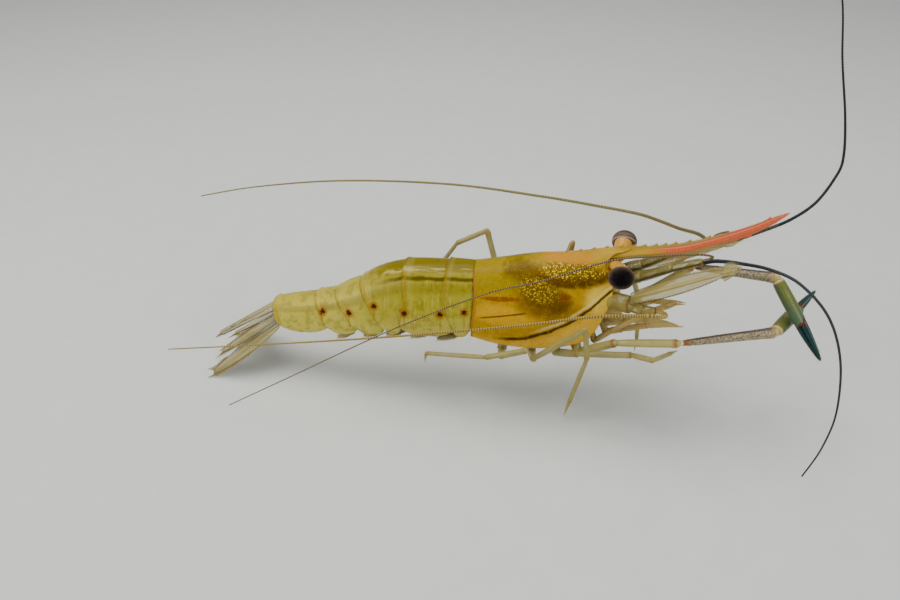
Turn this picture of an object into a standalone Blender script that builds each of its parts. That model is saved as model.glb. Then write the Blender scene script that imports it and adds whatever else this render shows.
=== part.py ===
"""Giant river prawn (Macrobrachium rosenbergii), a still life-size model.

The head looks along +X, the animal's left is +Y and +Z is up. Sizes below are
in millimetres and the meshes are written in metres. The floor is z = 0: four
leg tips and the two outer blades of the tail fan rest on it.
"""
import math

import bmesh
import bpy
from mathutils import Vector

MM = 0.001
GAP = 0.3           # clear space between two neighbouring pieces
SIDES = {"right": -1, "left": 1}

# Carapace stations: place along the body, top edge, lower edge, half width
CARAPACE_STATIONS = [
    (-22.4, 22.9, 11.3, 5.30),
    (-18.5, 23.8, 10.7, 5.75),
    (-13.0, 25.1, 10.6, 6.00),
    (-8.5, 25.7, 11.2, 5.90),
    (-5.0, 26.4, 12.2, 5.50),
    (-2.6, 27.0, 13.6, 4.90),
    (-0.9, 27.4, 15.6, 4.10),
]
CARAPACE_RINGS_BETWEEN = 2
FLAP_THICKNESS = 1.0      # side flap that hangs over the leg roots
CREST_TEETH = [-8.2, -5.8, -3.6, -2.0]
CREST_TOOTH = (0.75, 0.7)  # height, half length
CHEEK_SPINES = [           # foot x and z, reach forwards, reach outwards
    (-2.2, 21.0, 2.6, 0.25),
    (-4.6, 18.4, 2.4, 0.8),
]

# Rostrum: place along the body, upper edge, lower edge
ROSTRUM_STATIONS = [
    (-0.55, 27.5, 25.3),
    (1.6, 27.9, 25.7),
    (5.3, 28.5, 26.3),
    (9.9, 29.5, 26.9),
    (14.7, 31.2, 29.1),
    (18.8, 33.0, 31.3),
    (22.4, 34.8, 33.6),
    (24.3, 35.7, 35.3),
]
ROSTRUM_UPPER_TEETH = [0.9, 2.7, 4.2, 5.9, 7.3, 8.7, 10.8, 13.4, 21.6]
ROSTRUM_LOWER_TEETH = [6.9, 8.8, 10.6, 12.4, 14.1, 15.8, 17.6, 19.5]
ROSTRUM_TOOTH_HEIGHT = 0.65
ROSTRUM_TOOTH_LENGTH = 1.0
ROSTRUM_EDGE = 0.26       # half thickness of the blade's edges
ROSTRUM_RIDGE = 0.75      # half width of its side ridge at the root

# Abdomen joints: back point x, z, belly point x, z, half width, overlap of the
# side plates at the lower edge (forward is positive)
ABDOMEN_JOINTS = [
    (-22.85, 22.8, -22.85, 11.2, 5.30, 0.0),
    (-27.2, 22.8, -27.6, 10.6, 5.45, 2.0),
    (-34.5, 22.2, -32.8, 10.1, 5.35, -1.6),
    (-42.1, 18.4, -36.8, 9.5, 4.95, -0.5),
    (-46.6, 15.7, -41.6, 8.7, 4.40, -0.5),
    (-50.2, 14.5, -47.0, 8.1, 3.85, -0.5),
    (-57.8, 12.3, -56.3, 7.4, 3.00, 0.0),
]
ABDOMEN_ARCH = [0.1, 0.35, 0.95, 0.45, 0.25, 0.3]
ABDOMEN_GAP = 0.45        # measured along the body, where the joints slant
PLATE_RIM = 0.3           # how far a plate's rear edge stands proud
PLEURA_THICKNESS = 0.9

SECTION_STEPS = 7         # points from a plate's lower edge to its crest
SECTION_REACH = math.radians(125)
SECTION_FLAP = math.radians(109)

# Underside of the thorax: place, lowest line; it lies between the side flaps
STERNUM_STATIONS = [(-21.9, 11.7), (-12.0, 11.2), (-6.0, 12.0), (-3.0, 13.7), (-1.0, 15.8)]
STERNUM_HALF_WIDTH = 3.3
STERNUM_HEIGHT = 1.1
STERNUM_TAPER = 0.86      # its lower face is this share of its width
STERNUM_KEEL = 0.1        # how far its middle line hangs lower

# Tail fan
TAIL_PITCH = math.radians(35.5)
TAIL_SLACK = 0.32         # clear space behind the last plate, beyond the gap itself
TELSON = dict(root=(-58.0, 0.0, 11.1), length=14.2, width=1.75, tip=0.5, thick=0.62)
EXOPOD = dict(root=(-57.2, 2.15, 8.55), length=15.4, width=2.5, yaw=math.radians(23), thick=0.3)
ENDOPOD = dict(root=(-57.5, 1.35, 9.75), length=13.6, width=1.8, yaw=math.radians(10), thick=0.3)

# Eyes
EYE_CENTRE = (0.75, 6.33, 25.74)
EYE_RADIUS = 2.05
EYE_FLAT = 1.45           # distance from the centre to the stalk's face
STALK_ROOT = (-0.6, 1.9, 25.2)
STALK_RADII = (0.95, 1.15, 1.3)

# Antennules and antennae, written for the left side
ANTENNULE = [(-0.55, 1.5, 22.5), (3.9, 2.1, 24.0), (8.4, 2.5, 26.3), (12.7, 2.8, 27.9)]
ANTENNULE_RADII = [1.15, 1.2, 0.95, 0.82]
FLAGELLUM_SPREAD = 0.47   # the two feelers' distance from the antennule's axis
ANTENNA = [(-0.5, 3.1, 19.9), (1.2, 4.1, 20.2), (2.6, 4.9, 20.3), (3.2, 5.3, 20.1), (6.4, 6.5, 20.5)]
ANTENNA_RADII = [1.5, 1.65, 1.6, 1.0, 0.85]
SCALE_ROOT = (3.15, 5.2, 22.0)
SCALE_TIP = {"right": (18.5, -7.0, 30.2), "left": (18.8, 6.8, 27.4)}
SCALE_HALF_WIDTH = 2.2
SCALE_THICKNESS = 0.27    # half of the blade's thickness

# Feeler radii from root to tip
OUTER_ANTENNULE_RADII = (0.36, 0.3, 0.2)
INNER_ANTENNULE_RADII = (0.27, 0.2)
ANTENNA_FEELER_RADII = (0.5, 0.3, 0.2)
FEELER_START = 1.1        # straight length before a feeler follows its route

# Feeler routes, chosen by hand along smooth curves
ROUTE_ANTENNULE_OUTER_LEFT = [
    (17.2, 3.2, 28.9), (21.2, 3.1, 30.9), (25.3, 3.3, 33.2), (28.5, 3.5, 36.2),
    (30.6, 3.7, 40.4), (31.2, 3.9, 43.5), (30.4, 4.3, 49.4), (28.5, 4.7, 57.8),
    (27.0, 5.1, 66.0), (24.6, 5.6, 72.5),
]
ROUTE_ANTENNULE_OUTER_RIGHT = [
    (15.2, -2.8, 28.2), (18.3, -3.0, 28.2), (22.5, -4.2, 28.2), (26.5, -7.2, 27.8),
    (30.2, -12.1, 25.6), (31.8, -17.4, 21.9), (31.5, -22.9, 17.0), (29.6, -27.2, 13.6),
    (27.0, -30.6, 10.9),
]
ROUTE_ANTENNULE_INNER_LEFT = [
    (14.9, 4.9, 28.9), (16.9, 7.0, 28.6), (16.0, 9.8, 26.4), (12.0, 12.0, 22.8),
    (5.0, 14.0, 20.4), (-5.0, 15.4, 17.0), (-18.0, 16.2, 12.6), (-32.0, 16.8, 8.4),
    (-43.0, 17.4, 4.6), (-49.0, 17.8, 2.2),
]
ROUTE_ANTENNULE_INNER_RIGHT = [
    (13.8, -4.2, 29.6), (11.6, -5.2, 30.2), (5.4, -5.9, 29.7), (-1.2, -6.6, 28.6),
    (-11.2, -8.8, 25.3), (-19.3, -10.5, 23.2), (-33.4, -13.8, 17.2), (-49.5, -17.2, 8.6),
    (-60.0, -19.2, 2.9),
]
ROUTE_ANTENNA_LEFT = [
    (9.4, 8.6, 21.4), (12.8, 10.3, 23.2), (14.0, 10.1, 25.0), (12.5, 8.6, 27.0),
    (9.2, 5.5, 29.2), (5.9, 3.0, 31.4), (2.5, 0.2, 33.6), (-3.5, -1.6, 35.2),
    (-12.6, -2.2, 36.4), (-26.6, -2.1, 37.2), (-43.5, -2.2, 36.5), (-58.0, -2.4, 34.4),
    (-68.0, -2.6, 32.0),
]
ROUTE_ANTENNA_RIGHT = [
    (7.9, -7.4, 20.7), (7.6, -8.6, 20.9), (5.0, -8.8, 20.9), (-3.0, -8.5, 19.7),
    (-12.8, -8.7, 17.3), (-26.0, -9.6, 14.9), (-39.0, -10.9, 13.0), (-56.0, -12.6, 10.9),
    (-72.0, -14.0, 9.0),
]

# Limb joints from the root outwards. A root's height comes from the underside of
# the thorax, and the legs in FLOOR_LEGS end in a small flat foot
LEG_RADII = [0.95, 0.78, 0.55, 0.5, 0.42, 0.33, 0.26]
ROOT_CLEARANCE = 0.12     # a limb's root stands this far below the gap under the thorax
LEG_JOINTS = {
    ("leg_3", "right"): [
        (-9.0, -2.4, 0), (-8.7, -3.4, 9.3), (-5.0, -6.7, 11.5), (3.5, -8.3, 13.3),
        (6.6, -12.3, 15.3), (9.4, -7.6, 13.9), (10.7, -5.5, 13.3)],
    ("leg_4", "right"): [
        (-12.9, -2.4, 0), (-12.7, -3.6, 9.0), (-11.9, -7.5, 10.3), (-3.9, -9.9, 18.1),
        (-3.4, -9.3, 12.3), (-5.7, -8.7, 3.2), (-6.5, -8.6, 0)],
    ("leg_5", "right"): [
        (-17.3, -2.4, 0), (-17.6, -3.6, 9.0), (-17.2, -6.8, 9.7), (-12.9, -11.0, 13.9),
        (-19.3, -10.1, 11.3), (-29.7, -6.8, 8.7), (-30.0, -6.6, 6.6)],
    ("leg_3", "left"): [
        (-9.0, 2.4, 0), (-8.7, 3.6, 9.1), (-6.0, 7.4, 10.1), (2.6, 11.6, 17.0),
        (4.4, 12.7, 11.2), (4.6, 13.3, 3.2), (4.3, 13.4, 0)],
    ("leg_4", "left"): [
        (-12.9, 2.4, 0), (-12.9, 3.7, 9.0), (-12.4, 7.7, 10.4), (-7.8, 11.0, 22.4),
        (-8.6, 12.8, 15.6), (-9.4, 13.8, 3.6), (-9.6, 13.9, 0)],
    ("leg_5", "left"): [
        (-17.3, 2.4, 0), (-17.7, 3.7, 9.0), (-18.4, 7.5, 10.8), (-22.5, 10.5, 23.6),
        (-27.9, 11.5, 20.2), (-34.0, 13.0, 10.6), (-35.2, 13.3, 7.6)],
}
FLOOR_LEGS = [("leg_4", "right"), ("leg_3", "left"), ("leg_4", "left")]
SMALL_LIMB_JOINTS = {
    ("leg_1", "right"): [
        (-3.4, -1.9, 0), (-2.6, -2.7, 11.8), (0.2, -3.4, 14.6), (5.4, -3.4, 18.5),
        (10.3, -3.6, 21.0)],
    ("leg_1", "left"): [
        (-3.4, 1.9, 0), (-2.6, 2.8, 11.8), (0.6, 3.9, 14.0), (6.2, 3.6, 16.6),
        (11.6, 2.4, 17.4)],
    ("maxilliped_3", "right"): [
        (-1.9, -0.95, 0), (-0.9, -1.3, 12.9), (1.6, -1.8, 14.0), (5.6, -2.3, 15.4),
        (11.3, -2.6, 15.9)],
    ("maxilliped_3", "left"): [
        (-1.9, 0.95, 0), (-0.9, 1.3, 12.9), (1.6, 1.6, 13.6), (5.3, 1.5, 14.2),
        (10.6, 1.2, 13.9)],
}
SMALL_LIMB_RADII = {"leg_1": [0.62, 0.5, 0.42, 0.4, 0.26], "maxilliped_3": [0.6, 0.55, 0.55, 0.5, 0.2]}
ARM_JOINTS = {
    "right": [
        (-6.0, -2.3, 0), (-5.1, -3.7, 9.9), (0.8, -6.3, 14.0), (10.3, -7.9, 16.0),
        (24.8, -4.3, 17.5)],
    "left": [
        (-6.0, 2.3, 0), (-5.1, 3.7, 9.9), (2.4, 6.4, 14.5), (12.0, 5.8, 22.5),
        (24.2, -0.3, 24.9)],
}
ARM_RADII = [0.95, 0.8, 0.62, 0.62, 0.82]
CLAW_TIP = {"right": (32.3, 8.9, 18.3), "left": (32.0, -5.8, 14.1)}
CLAW_PALM_SHARE = 0.57
CLAW_RADIUS = 1.14
CLAW_THINNESS = 0.85      # the palm is a little flatter than it is wide
PALM_OUTLINE = ((0.0, 0.7), (0.08, 0.88), (0.3, 1.0), (0.7, 1.0), (0.93, 0.94), (1.0, 0.82))
FINGER_RADIUS = 0.53
FINGER_APART = 1.25       # a finger's distance from the claw's axis, in finger radii
FINGER_OUTLINE = (        # place along the finger, its size, its distance from the axis
    (-0.12, 1.0, 0.98), (0.05, 1.12, 1.0), (0.5, 0.9, 0.86), (0.85, 0.6, 0.6), (1.0, 0.32, 0.32))

# Swimmerets hang under the first five segments
PLEOPOD_BASE = 2.2
PLEOPOD_BLADES = [(0.6, 4.6, 0.85), (-0.4, 3.8, 0.6)]  # sideways, length, half width
PLEOPOD_SPACING = (1.35, 0.7)  # fixed part and the part that shrinks rearwards
PLEOPOD_STEM = ((0, 0.8), (0.5, 0.68), (1, 0.6))       # share of the stem, radius
PLEOPOD_SHRINK = 0.09     # each pair is this share smaller than the one before

COLOURS = {
    "shell": (0.55, 0.40, 0.12),
    "abdomen": (0.46, 0.43, 0.20),
    "rostrum": (0.75, 0.30, 0.20),
    "limb": (0.55, 0.52, 0.34),
    "claw": (0.13, 0.25, 0.20),
    "feeler": (0.05, 0.07, 0.08),
    "pale_feeler": (0.36, 0.34, 0.20),
    "eye": (0.02, 0.02, 0.02),
    "fan": (0.55, 0.54, 0.40),
}


def clear_scene():
    for item in list(bpy.data.objects):
        bpy.data.objects.remove(item)


def material(name):
    """The named colour as a Principled material, made once."""
    found = bpy.data.materials.get(name)
    if found:
        return found
    made = bpy.data.materials.new(name)
    made.use_nodes = True
    shader = made.node_tree.nodes["Principled BSDF"]
    shader.inputs["Base Color"].default_value = (*COLOURS[name], 1.0)
    shader.inputs["Roughness"].default_value = 0.35
    shader.inputs["Metallic"].default_value = 0.0
    return made


def add_object(name, bm, colour):
    """Closes a bmesh built in millimetres into a smooth-shaded object in metres."""
    bmesh.ops.recalc_face_normals(bm, faces=bm.faces)
    bmesh.ops.scale(bm, vec=(MM, MM, MM), verts=bm.verts)
    mesh = bpy.data.meshes.new(name)
    bm.to_mesh(mesh)
    bm.free()
    mesh.shade_smooth()
    mesh.set_sharp_from_angle(angle=math.radians(38))
    mesh.materials.append(material(colour))
    item = bpy.data.objects.new(name, mesh)
    bpy.context.scene.collection.objects.link(item)
    return item


def fuse(item, extras):
    """Joins closed pieces onto an object with one Boolean union."""
    group = bpy.data.collections.new(item.name + "_extras")
    for extra in extras:
        group.objects.link(extra)
    union = item.modifiers.new("Union", "BOOLEAN")
    union.operation = "UNION"
    union.operand_type = "COLLECTION"
    union.collection = group
    union.solver = "EXACT"
    bpy.context.view_layer.objects.active = item
    bpy.ops.object.modifier_apply(modifier=union.name)
    for extra in extras:
        bpy.data.objects.remove(extra)
    bpy.data.collections.remove(group)
    return item


def skin(bm, rings, caps=(True, True)):
    """Joins rings of points with faces and returns the rows of vertices."""
    rows = [[bm.verts.new(point) for point in ring] for ring in rings]
    count = len(rows[0])
    for row, following in zip(rows, rows[1:]):
        for i in range(count):
            j = (i + 1) % count
            bm.faces.new((row[i], row[j], following[j], following[i]))
    if caps[0]:
        bm.faces.new(rows[0])
    if caps[1]:
        bm.faces.new(rows[-1])
    return rows


def blend_rows(rows, x):
    """A smooth value of each column of a station table at place x."""
    ordered = sorted(rows)
    x = min(max(x, ordered[0][0]), ordered[-1][0])
    index = max(i for i, row in enumerate(ordered) if row[0] <= x)
    index = min(index, len(ordered) - 2)
    before = ordered[max(index - 1, 0)]
    start, end = ordered[index], ordered[index + 1]
    after = ordered[min(index + 2, len(ordered) - 1)]
    span = end[0] - start[0]
    t = (x - start[0]) / span
    values = []
    for column in range(1, len(start)):
        slope_in = (end[column] - before[column]) / (end[0] - before[0]) * span
        slope_out = (after[column] - start[column]) / (after[0] - start[0]) * span
        h00 = 2 * t ** 3 - 3 * t ** 2 + 1
        h10 = t ** 3 - 2 * t ** 2 + t
        h01 = 3 * t ** 2 - 2 * t ** 3
        h11 = t ** 3 - t ** 2
        values.append(h00 * start[column] + h10 * slope_in + h01 * end[column] + h11 * slope_out)
    return values


def smooth_route(points, step):
    """Points about one step apart on a smooth curve through the given points."""
    knots = [Vector(point) for point in points]
    route = [knots[0]]
    for i in range(len(knots) - 1):
        before = knots[max(i - 1, 0)]
        start, end = knots[i], knots[i + 1]
        after = knots[min(i + 2, len(knots) - 1)]
        pieces = max(1, round((end - start).length / step))
        for k in range(1, pieces + 1):
            t = k / pieces
            route.append(0.5 * (2 * start + (end - before) * t
                                + (2 * before - 5 * start + 4 * end - after) * t ** 2
                                + (3 * start - before - 3 * end + after) * t ** 3))
    return route


def ring_around(centre, across, up, radius, sides, thin=1.0):
    points = []
    for i in range(sides):
        angle = 2 * math.pi * i / sides
        points.append(centre + across * (radius * math.cos(angle)) + up * (radius * thin * math.sin(angle)))
    return points


def frames_along(tangents, up):
    """Directions across and up for each tangent, turned as little as possible."""
    frames = []
    up = Vector(up)
    for tangent in tangents:
        across = tangent.cross(up).normalized()
        up = across.cross(tangent).normalized()
        frames.append((across, up))
    return frames


def feeler(name, route, radii, colour, sides=6, step=3.2):
    """A tapered feeler along a smooth route."""
    points = smooth_route(route, step)
    tangents = []
    for i, point in enumerate(points):
        ahead = points[min(i + 1, len(points) - 1)]
        behind = points[max(i - 1, 0)]
        tangents.append((ahead - behind).normalized())
    first = Vector((0, 0, 1))
    if abs(tangents[0].z) > 0.9:
        first = Vector((0, 1, 0))
    rings = []
    for i, (across, up) in enumerate(frames_along(tangents, first)):
        share = i / (len(points) - 1)
        radius = radii[0] + (radii[1] - radii[0]) * share ** 0.8
        rings.append(ring_around(points[i], across, up, radius, sides))
    bm = bmesh.new()
    skin(bm, rings)
    return add_object(name, bm, colour)


def limb_rings(joints, radii, sides, root=None, foot=False, thin=1.0):
    """Rings of a jointed limb: each length is waisted at its root and rounded at the bend."""
    joints = [Vector(joint) for joint in joints]
    directions = [(b - a).normalized() for a, b in zip(joints, joints[1:])]
    stations = [(joints[0], root or directions[0], radii[0], None, 1.0)]
    for i in range(1, len(joints)):
        length = (joints[i] - joints[i - 1]).length
        first = directions[i - 1]
        middle = joints[i - 1] + first * (length * 0.55)
        stations.append((middle, first, (radii[i - 1] * 0.45 + radii[i] * 0.6), None, 1.0))
        if i == len(joints) - 1:
            break
        second = directions[i]
        half = math.radians(90) - first.angle(second) / 2
        reach = min(radii[i] / math.tan(half) + 0.25, 0.42 * length)
        inward = (second - first).normalized()
        bend = (first + second).normalized()
        stations.append((joints[i] - first * reach, first, radii[i], None, 1.0))
        stations.append((joints[i], bend, radii[i], inward, 0.9 / math.sin(half)))
        stations.append((joints[i] + second * reach, second, radii[i] * 0.82, None, 1.0))
    last = Vector((0, 0, -1)) if foot else directions[-1]
    stations.append((joints[-1], last, radii[-1], None, 1.0))
    first_up = Vector((0, 1, 0)) if abs(stations[0][1].z) > 0.8 else Vector((0, 0, 1))
    rings = []
    frames = frames_along([station[1] for station in stations], first_up)
    for (centre, _, radius, inward, stretch), (across, up) in zip(stations, frames):
        ring = ring_around(centre, across, up, radius, sides, thin)
        if inward is not None:
            ring = [point + inward * max((point - centre).dot(inward), 0) * (stretch - 1) for point in ring]
        rings.append(ring)
    return rings


def arch_angles():
    """Angles from the crest for one side of a plate's section, lower edge first."""
    upper = [SECTION_FLAP * i / (SECTION_STEPS - 1) for i in range(SECTION_STEPS - 1, -1, -1)]
    return [SECTION_REACH] + upper


def arch_section(back, belly, half_width, thickness, push=0.0):
    """A plate's section: an arch from edge to edge, hollow below between its side flaps.

    back and belly are the section's top and bottom places (x, z). push moves the
    lower part along the body, as overlapping side plates do.
    """
    def place(angle, side, inset=0.0):
        share = (1 - math.cos(angle)) / (1 - math.cos(SECTION_REACH))
        lower = min(max((share - 0.4) / 0.6, 0.0), 1.0)
        x = back[0] + (belly[0] - back[0]) * share + push * lower * lower * (3 - 2 * lower)
        z = back[1] + (belly[1] - back[1]) * share
        y = half_width * math.sin(angle) ** 0.9 if angle > 0 else 0.0
        return Vector((x, side * (y - inset), z))

    angles = arch_angles()
    right = [place(angle, -1) for angle in angles]
    left = [place(angle, 1) for angle in reversed(angles[:-1])]
    roof_right = place(angles[1], -1, thickness)
    roof_left = place(angles[1], 1, thickness)
    roof = (roof_right + roof_left) / 2
    edge_right = place(angles[0], -1, thickness * 0.8)
    edge_left = place(angles[0], 1, thickness * 0.8)
    return right + left + [edge_left, roof_left, roof, roof_right, edge_right]


def close_arch(bm, row):
    """Fills the end of an arch section with level strips, the same on every plate."""
    count = 2 * SECTION_STEPS
    edge_left, roof_left, roof, roof_right, edge_right = row[count + 1:]
    bm.faces.new((row[0], row[1], roof_right, edge_right))
    bm.faces.new((row[count], row[count - 1], roof_left, edge_left))
    bm.faces.new((row[1], row[2], roof, roof_right))
    bm.faces.new((row[count - 1], row[count - 2], roof, roof_left))
    bm.faces.new((row[2], row[count - 2], roof))
    for i in range(2, SECTION_STEPS - 1):
        bm.faces.new((row[i], row[i + 1], row[count - i - 1], row[count - i]))
    top = SECTION_STEPS
    bm.faces.new((row[top - 1], row[top], row[top + 1]))


def arch_body(sections):
    bm = bmesh.new()
    rows = skin(bm, sections, caps=(False, False))
    close_arch(bm, rows[0])
    close_arch(bm, rows[-1])
    return bm


def wedge(name, base, tip, along, half_length, half_width, colour):
    """A small tooth: a four-sided spike on a lozenge foot sunk into its carrier."""
    base, tip, along = Vector(base), Vector(tip), Vector(along).normalized()
    across = along.cross(tip - base).normalized()
    foot = [base - along * half_length, base - across * half_width,
            base + along * half_length, base + across * half_width]
    bm = bmesh.new()
    corners = [bm.verts.new(point) for point in foot]
    peak = bm.verts.new(tip)
    for i in range(4):
        bm.faces.new((corners[i], corners[(i + 1) % 4], peak))
    bm.faces.new(corners)
    return add_object(name, bm, colour)


def make_carapace():
    sections = []
    for start, end in zip(CARAPACE_STATIONS, CARAPACE_STATIONS[1:]):
        for k in range(CARAPACE_RINGS_BETWEEN):
            x = start[0] + (end[0] - start[0]) * k / CARAPACE_RINGS_BETWEEN
            top, bottom, half_width = blend_rows(CARAPACE_STATIONS, x)
            sections.append(arch_section((x, top), (x, bottom), half_width, FLAP_THICKNESS))
    x, top, bottom, half_width = CARAPACE_STATIONS[-1]
    sections.append(arch_section((x, top), (x, bottom), half_width, FLAP_THICKNESS))
    carapace = add_object("carapace", arch_body(sections), "shell")
    teeth = []
    height, half_length = CREST_TOOTH
    for x in CREST_TEETH:
        top = blend_rows(CARAPACE_STATIONS, x)[0]
        teeth.append(wedge("tooth", (x, 0, top - 0.6), (x + 0.8, 0, top + height),
                           (1, 0, 0), half_length, 0.35, "shell"))
    for side in SIDES.values():
        for x, z, reach, out in CHEEK_SPINES:
            top, bottom, half_width = blend_rows(CARAPACE_STATIONS, x)
            share = (top - z) / (top - bottom) * (1 - math.cos(SECTION_REACH))
            y = half_width * math.sqrt(max(1 - (1 - share) ** 2, 0)) ** 0.9
            teeth.append(wedge("spine", (x, side * (y - 0.5), z), (x + reach, side * (y + out), z + 0.3),
                               (0, 0, 1), 0.55, 0.4, "shell"))
    return fuse(carapace, teeth)


def saw_height(x, teeth):
    """Height that the teeth add at place x: each rises slowly and drops at its tip."""
    height = 0.0
    for tip in teeth:
        share = (x - (tip - ROSTRUM_TOOTH_LENGTH)) / ROSTRUM_TOOTH_LENGTH
        if 0 <= share <= 1:
            height = max(height, ROSTRUM_TOOTH_HEIGHT * share ** 1.3)
    return height


def make_rostrum():
    places = {station[0] for station in ROSTRUM_STATIONS}
    for tip in ROSTRUM_UPPER_TEETH + ROSTRUM_LOWER_TEETH:
        places |= {tip - ROSTRUM_TOOTH_LENGTH, tip - ROSTRUM_TOOTH_LENGTH * 0.4, tip, tip + 0.14}
    start, end = ROSTRUM_STATIONS[0][0], ROSTRUM_STATIONS[-1][0]
    kept = []
    for x in sorted(place for place in places if start <= place <= end):
        if not kept or x - kept[-1] > 0.12:
            kept.append(x)
    rings = []
    for x in kept:
        top, bottom = blend_rows(ROSTRUM_STATIONS, x)
        middle = bottom + (top - bottom) * 0.42
        share = (x - start) / (end - start)
        ridge = ROSTRUM_RIDGE * (1 - share) + ROSTRUM_EDGE * 0.9 * share
        top += saw_height(x, ROSTRUM_UPPER_TEETH)
        bottom -= saw_height(x, ROSTRUM_LOWER_TEETH) * 0.8
        edge = ROSTRUM_EDGE * (1 - 0.35 * share)
        rings.append([Vector((x, -edge, top)), Vector((x, -ridge, middle)), Vector((x, -edge, bottom)),
                      Vector((x, edge, bottom)), Vector((x, ridge, middle)), Vector((x, edge, top))])
    bm = bmesh.new()
    skin(bm, rings)
    return add_object("rostrum", bm, "rostrum")


def make_abdomen():
    """Six plates; each rear rim stands a little proud of the next plate's front."""
    for number, (front, rear) in enumerate(zip(ABDOMEN_JOINTS, ABDOMEN_JOINTS[1:]), start=1):
        arch = ABDOMEN_ARCH[number - 1]
        sections = []
        for share in (0.0, 0.12, 0.36, 0.62, 0.88, 1.0):
            mix = [a + (b - a) * share for a, b in zip(front, rear)]
            bulge = arch * 4 * share * (1 - share)
            rim = PLATE_RIM * share ** 2 - 0.12 * (1 - share)
            lift = 0.55 * (2 * share - 1) ** 4
            ends = ABDOMEN_GAP / 2 * (1 - 2 * share)
            along = Vector((front[0] - rear[0], 0, front[1] - rear[1])).normalized()
            back = (mix[0] - ends - along.z * bulge, mix[1] + rim + along.x * bulge)
            belly = (mix[2] - ends, mix[3] + lift)
            sections.append(arch_section(back, belly, mix[4] + rim, PLEURA_THICKNESS, mix[5]))
        add_object("abdomen_%d" % number, arch_body(sections), "abdomen")


def roof_height(number, x):
    """Height of an abdomen plate's underside at place x."""
    front, rear = ABDOMEN_JOINTS[number - 1], ABDOMEN_JOINTS[number]
    level = (1 - math.cos(SECTION_FLAP)) / (1 - math.cos(SECTION_REACH))
    places = []
    for joint in (front, rear):
        px = joint[0] + (joint[2] - joint[0]) * level
        pz = joint[1] + (joint[3] - joint[1]) * level
        places.append((px, pz))
    (x0, z0), (x1, z1) = places
    return z0 + (z1 - z0) * (x - x0) / (x1 - x0)


def sternum_bottom(x):
    return blend_rows(STERNUM_STATIONS, x)[0]


def make_sternum():
    rings = []
    for x, bottom in STERNUM_STATIONS:
        top = bottom + STERNUM_HEIGHT
        width = STERNUM_HALF_WIDTH * (0.82 if x > -2 else 1.0)
        lower_width = width * STERNUM_TAPER
        rings.append([Vector((x, -width, top)), Vector((x, -lower_width, bottom)),
                      Vector((x, 0, bottom - STERNUM_KEEL)), Vector((x, lower_width, bottom)),
                      Vector((x, width, top)), Vector((x, 0, top))])
    bm = bmesh.new()
    skin(bm, rings)
    return add_object("sternum", bm, "shell")


def blade_rings(length, half_width, thick, profile, ridge, steps=9, tip_width=0.25):
    """Rings of a flat blade along +X: an outline by profile(share) with a raised midrib."""
    rings = []
    for i in range(steps + 1):
        share = i / steps
        width = max(half_width * profile(share), tip_width)
        x = length * share
        rib = ridge * (1 - share * 0.8)
        rings.append([Vector((x, -width, -thick)), Vector((x, width, -thick)), Vector((x, width, thick)),
                      Vector((x, width * 0.16, thick + rib * 0.3)), Vector((x, 0, thick + rib)),
                      Vector((x, -width * 0.16, thick + rib * 0.3)), Vector((x, -width, thick))])
    return rings


def place_blade(rings, root, pitch, yaw, roll=0.0):
    """Turns a blade built along +X and moves its root into place."""
    placed = []
    forward = Vector((math.cos(pitch) * math.cos(yaw), math.cos(pitch) * math.sin(yaw), math.sin(pitch)))
    across = Vector((-math.sin(yaw), math.cos(yaw), 0))
    up = forward.cross(across)
    turned = across * math.cos(roll) + up * math.sin(roll)
    normal = forward.cross(turned)
    for ring in rings:
        placed.append([Vector(root) + forward * p.x + turned * p.y + normal * p.z for p in ring])
    return placed, forward


def meet_plane(rings, direction, point, normal):
    """Slides a limb's first ring along the limb so that it lies in a plane."""
    rings[0] = [p + direction * ((point - p).dot(normal) / direction.dot(normal)) for p in rings[0]]
    return rings


def trim_at_floor(bm):
    """Cuts away what lies below the floor, leaving a small flat to rest on."""
    cut = bmesh.ops.bisect_plane(bm, geom=bm.verts[:] + bm.edges[:] + bm.faces[:], plane_co=(0, 0, 0),
                                 plane_no=(0, 0, 1), clear_inner=True)
    edges = [edge for edge in cut["geom_cut"] if isinstance(edge, bmesh.types.BMEdge)]
    if edges:
        bmesh.ops.edgeloop_fill(bm, edges=edges)


def make_tail_fan():
    last = ABDOMEN_JOINTS[-1]
    face = Vector((last[0], 0, last[1]))
    normal = Vector((last[3] - last[1], 0, last[0] - last[2])).normalized()
    face -= Vector((1, 0, 0)) * (GAP + TAIL_SLACK)

    size = TELSON
    rings = blade_rings(size["length"], size["width"], size["thick"],
                        lambda s: (1 - s) * (1 - 0.25 * s) + size["tip"] / size["width"] * s, 0.35)
    rings, forward = place_blade(rings, size["root"], -TAIL_PITCH * 0.93, math.pi)
    bm = bmesh.new()
    skin(bm, meet_plane(rings, forward, face, normal))
    add_object("telson", bm, "fan")

    for side_name, side in SIDES.items():
        for label, size in (("exopod", EXOPOD), ("endopod", ENDOPOD)):
            root = (size["root"][0], side * size["root"][1], size["root"][2])
            rings = blade_rings(size["length"], size["width"], size["thick"],
                                lambda s: math.sin(math.pi * min(0.16 + 0.80 * s ** 0.82, 1)) ** 0.75, 0.3,
                                tip_width=0.5)
            rings, forward = place_blade(rings, root, -TAIL_PITCH, math.pi - side * size["yaw"])
            bm = bmesh.new()
            skin(bm, meet_plane(rings, forward, face, normal))
            trim_at_floor(bm)
            add_object("uropod_%s_%s" % (label, side_name), bm, "fan")


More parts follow.
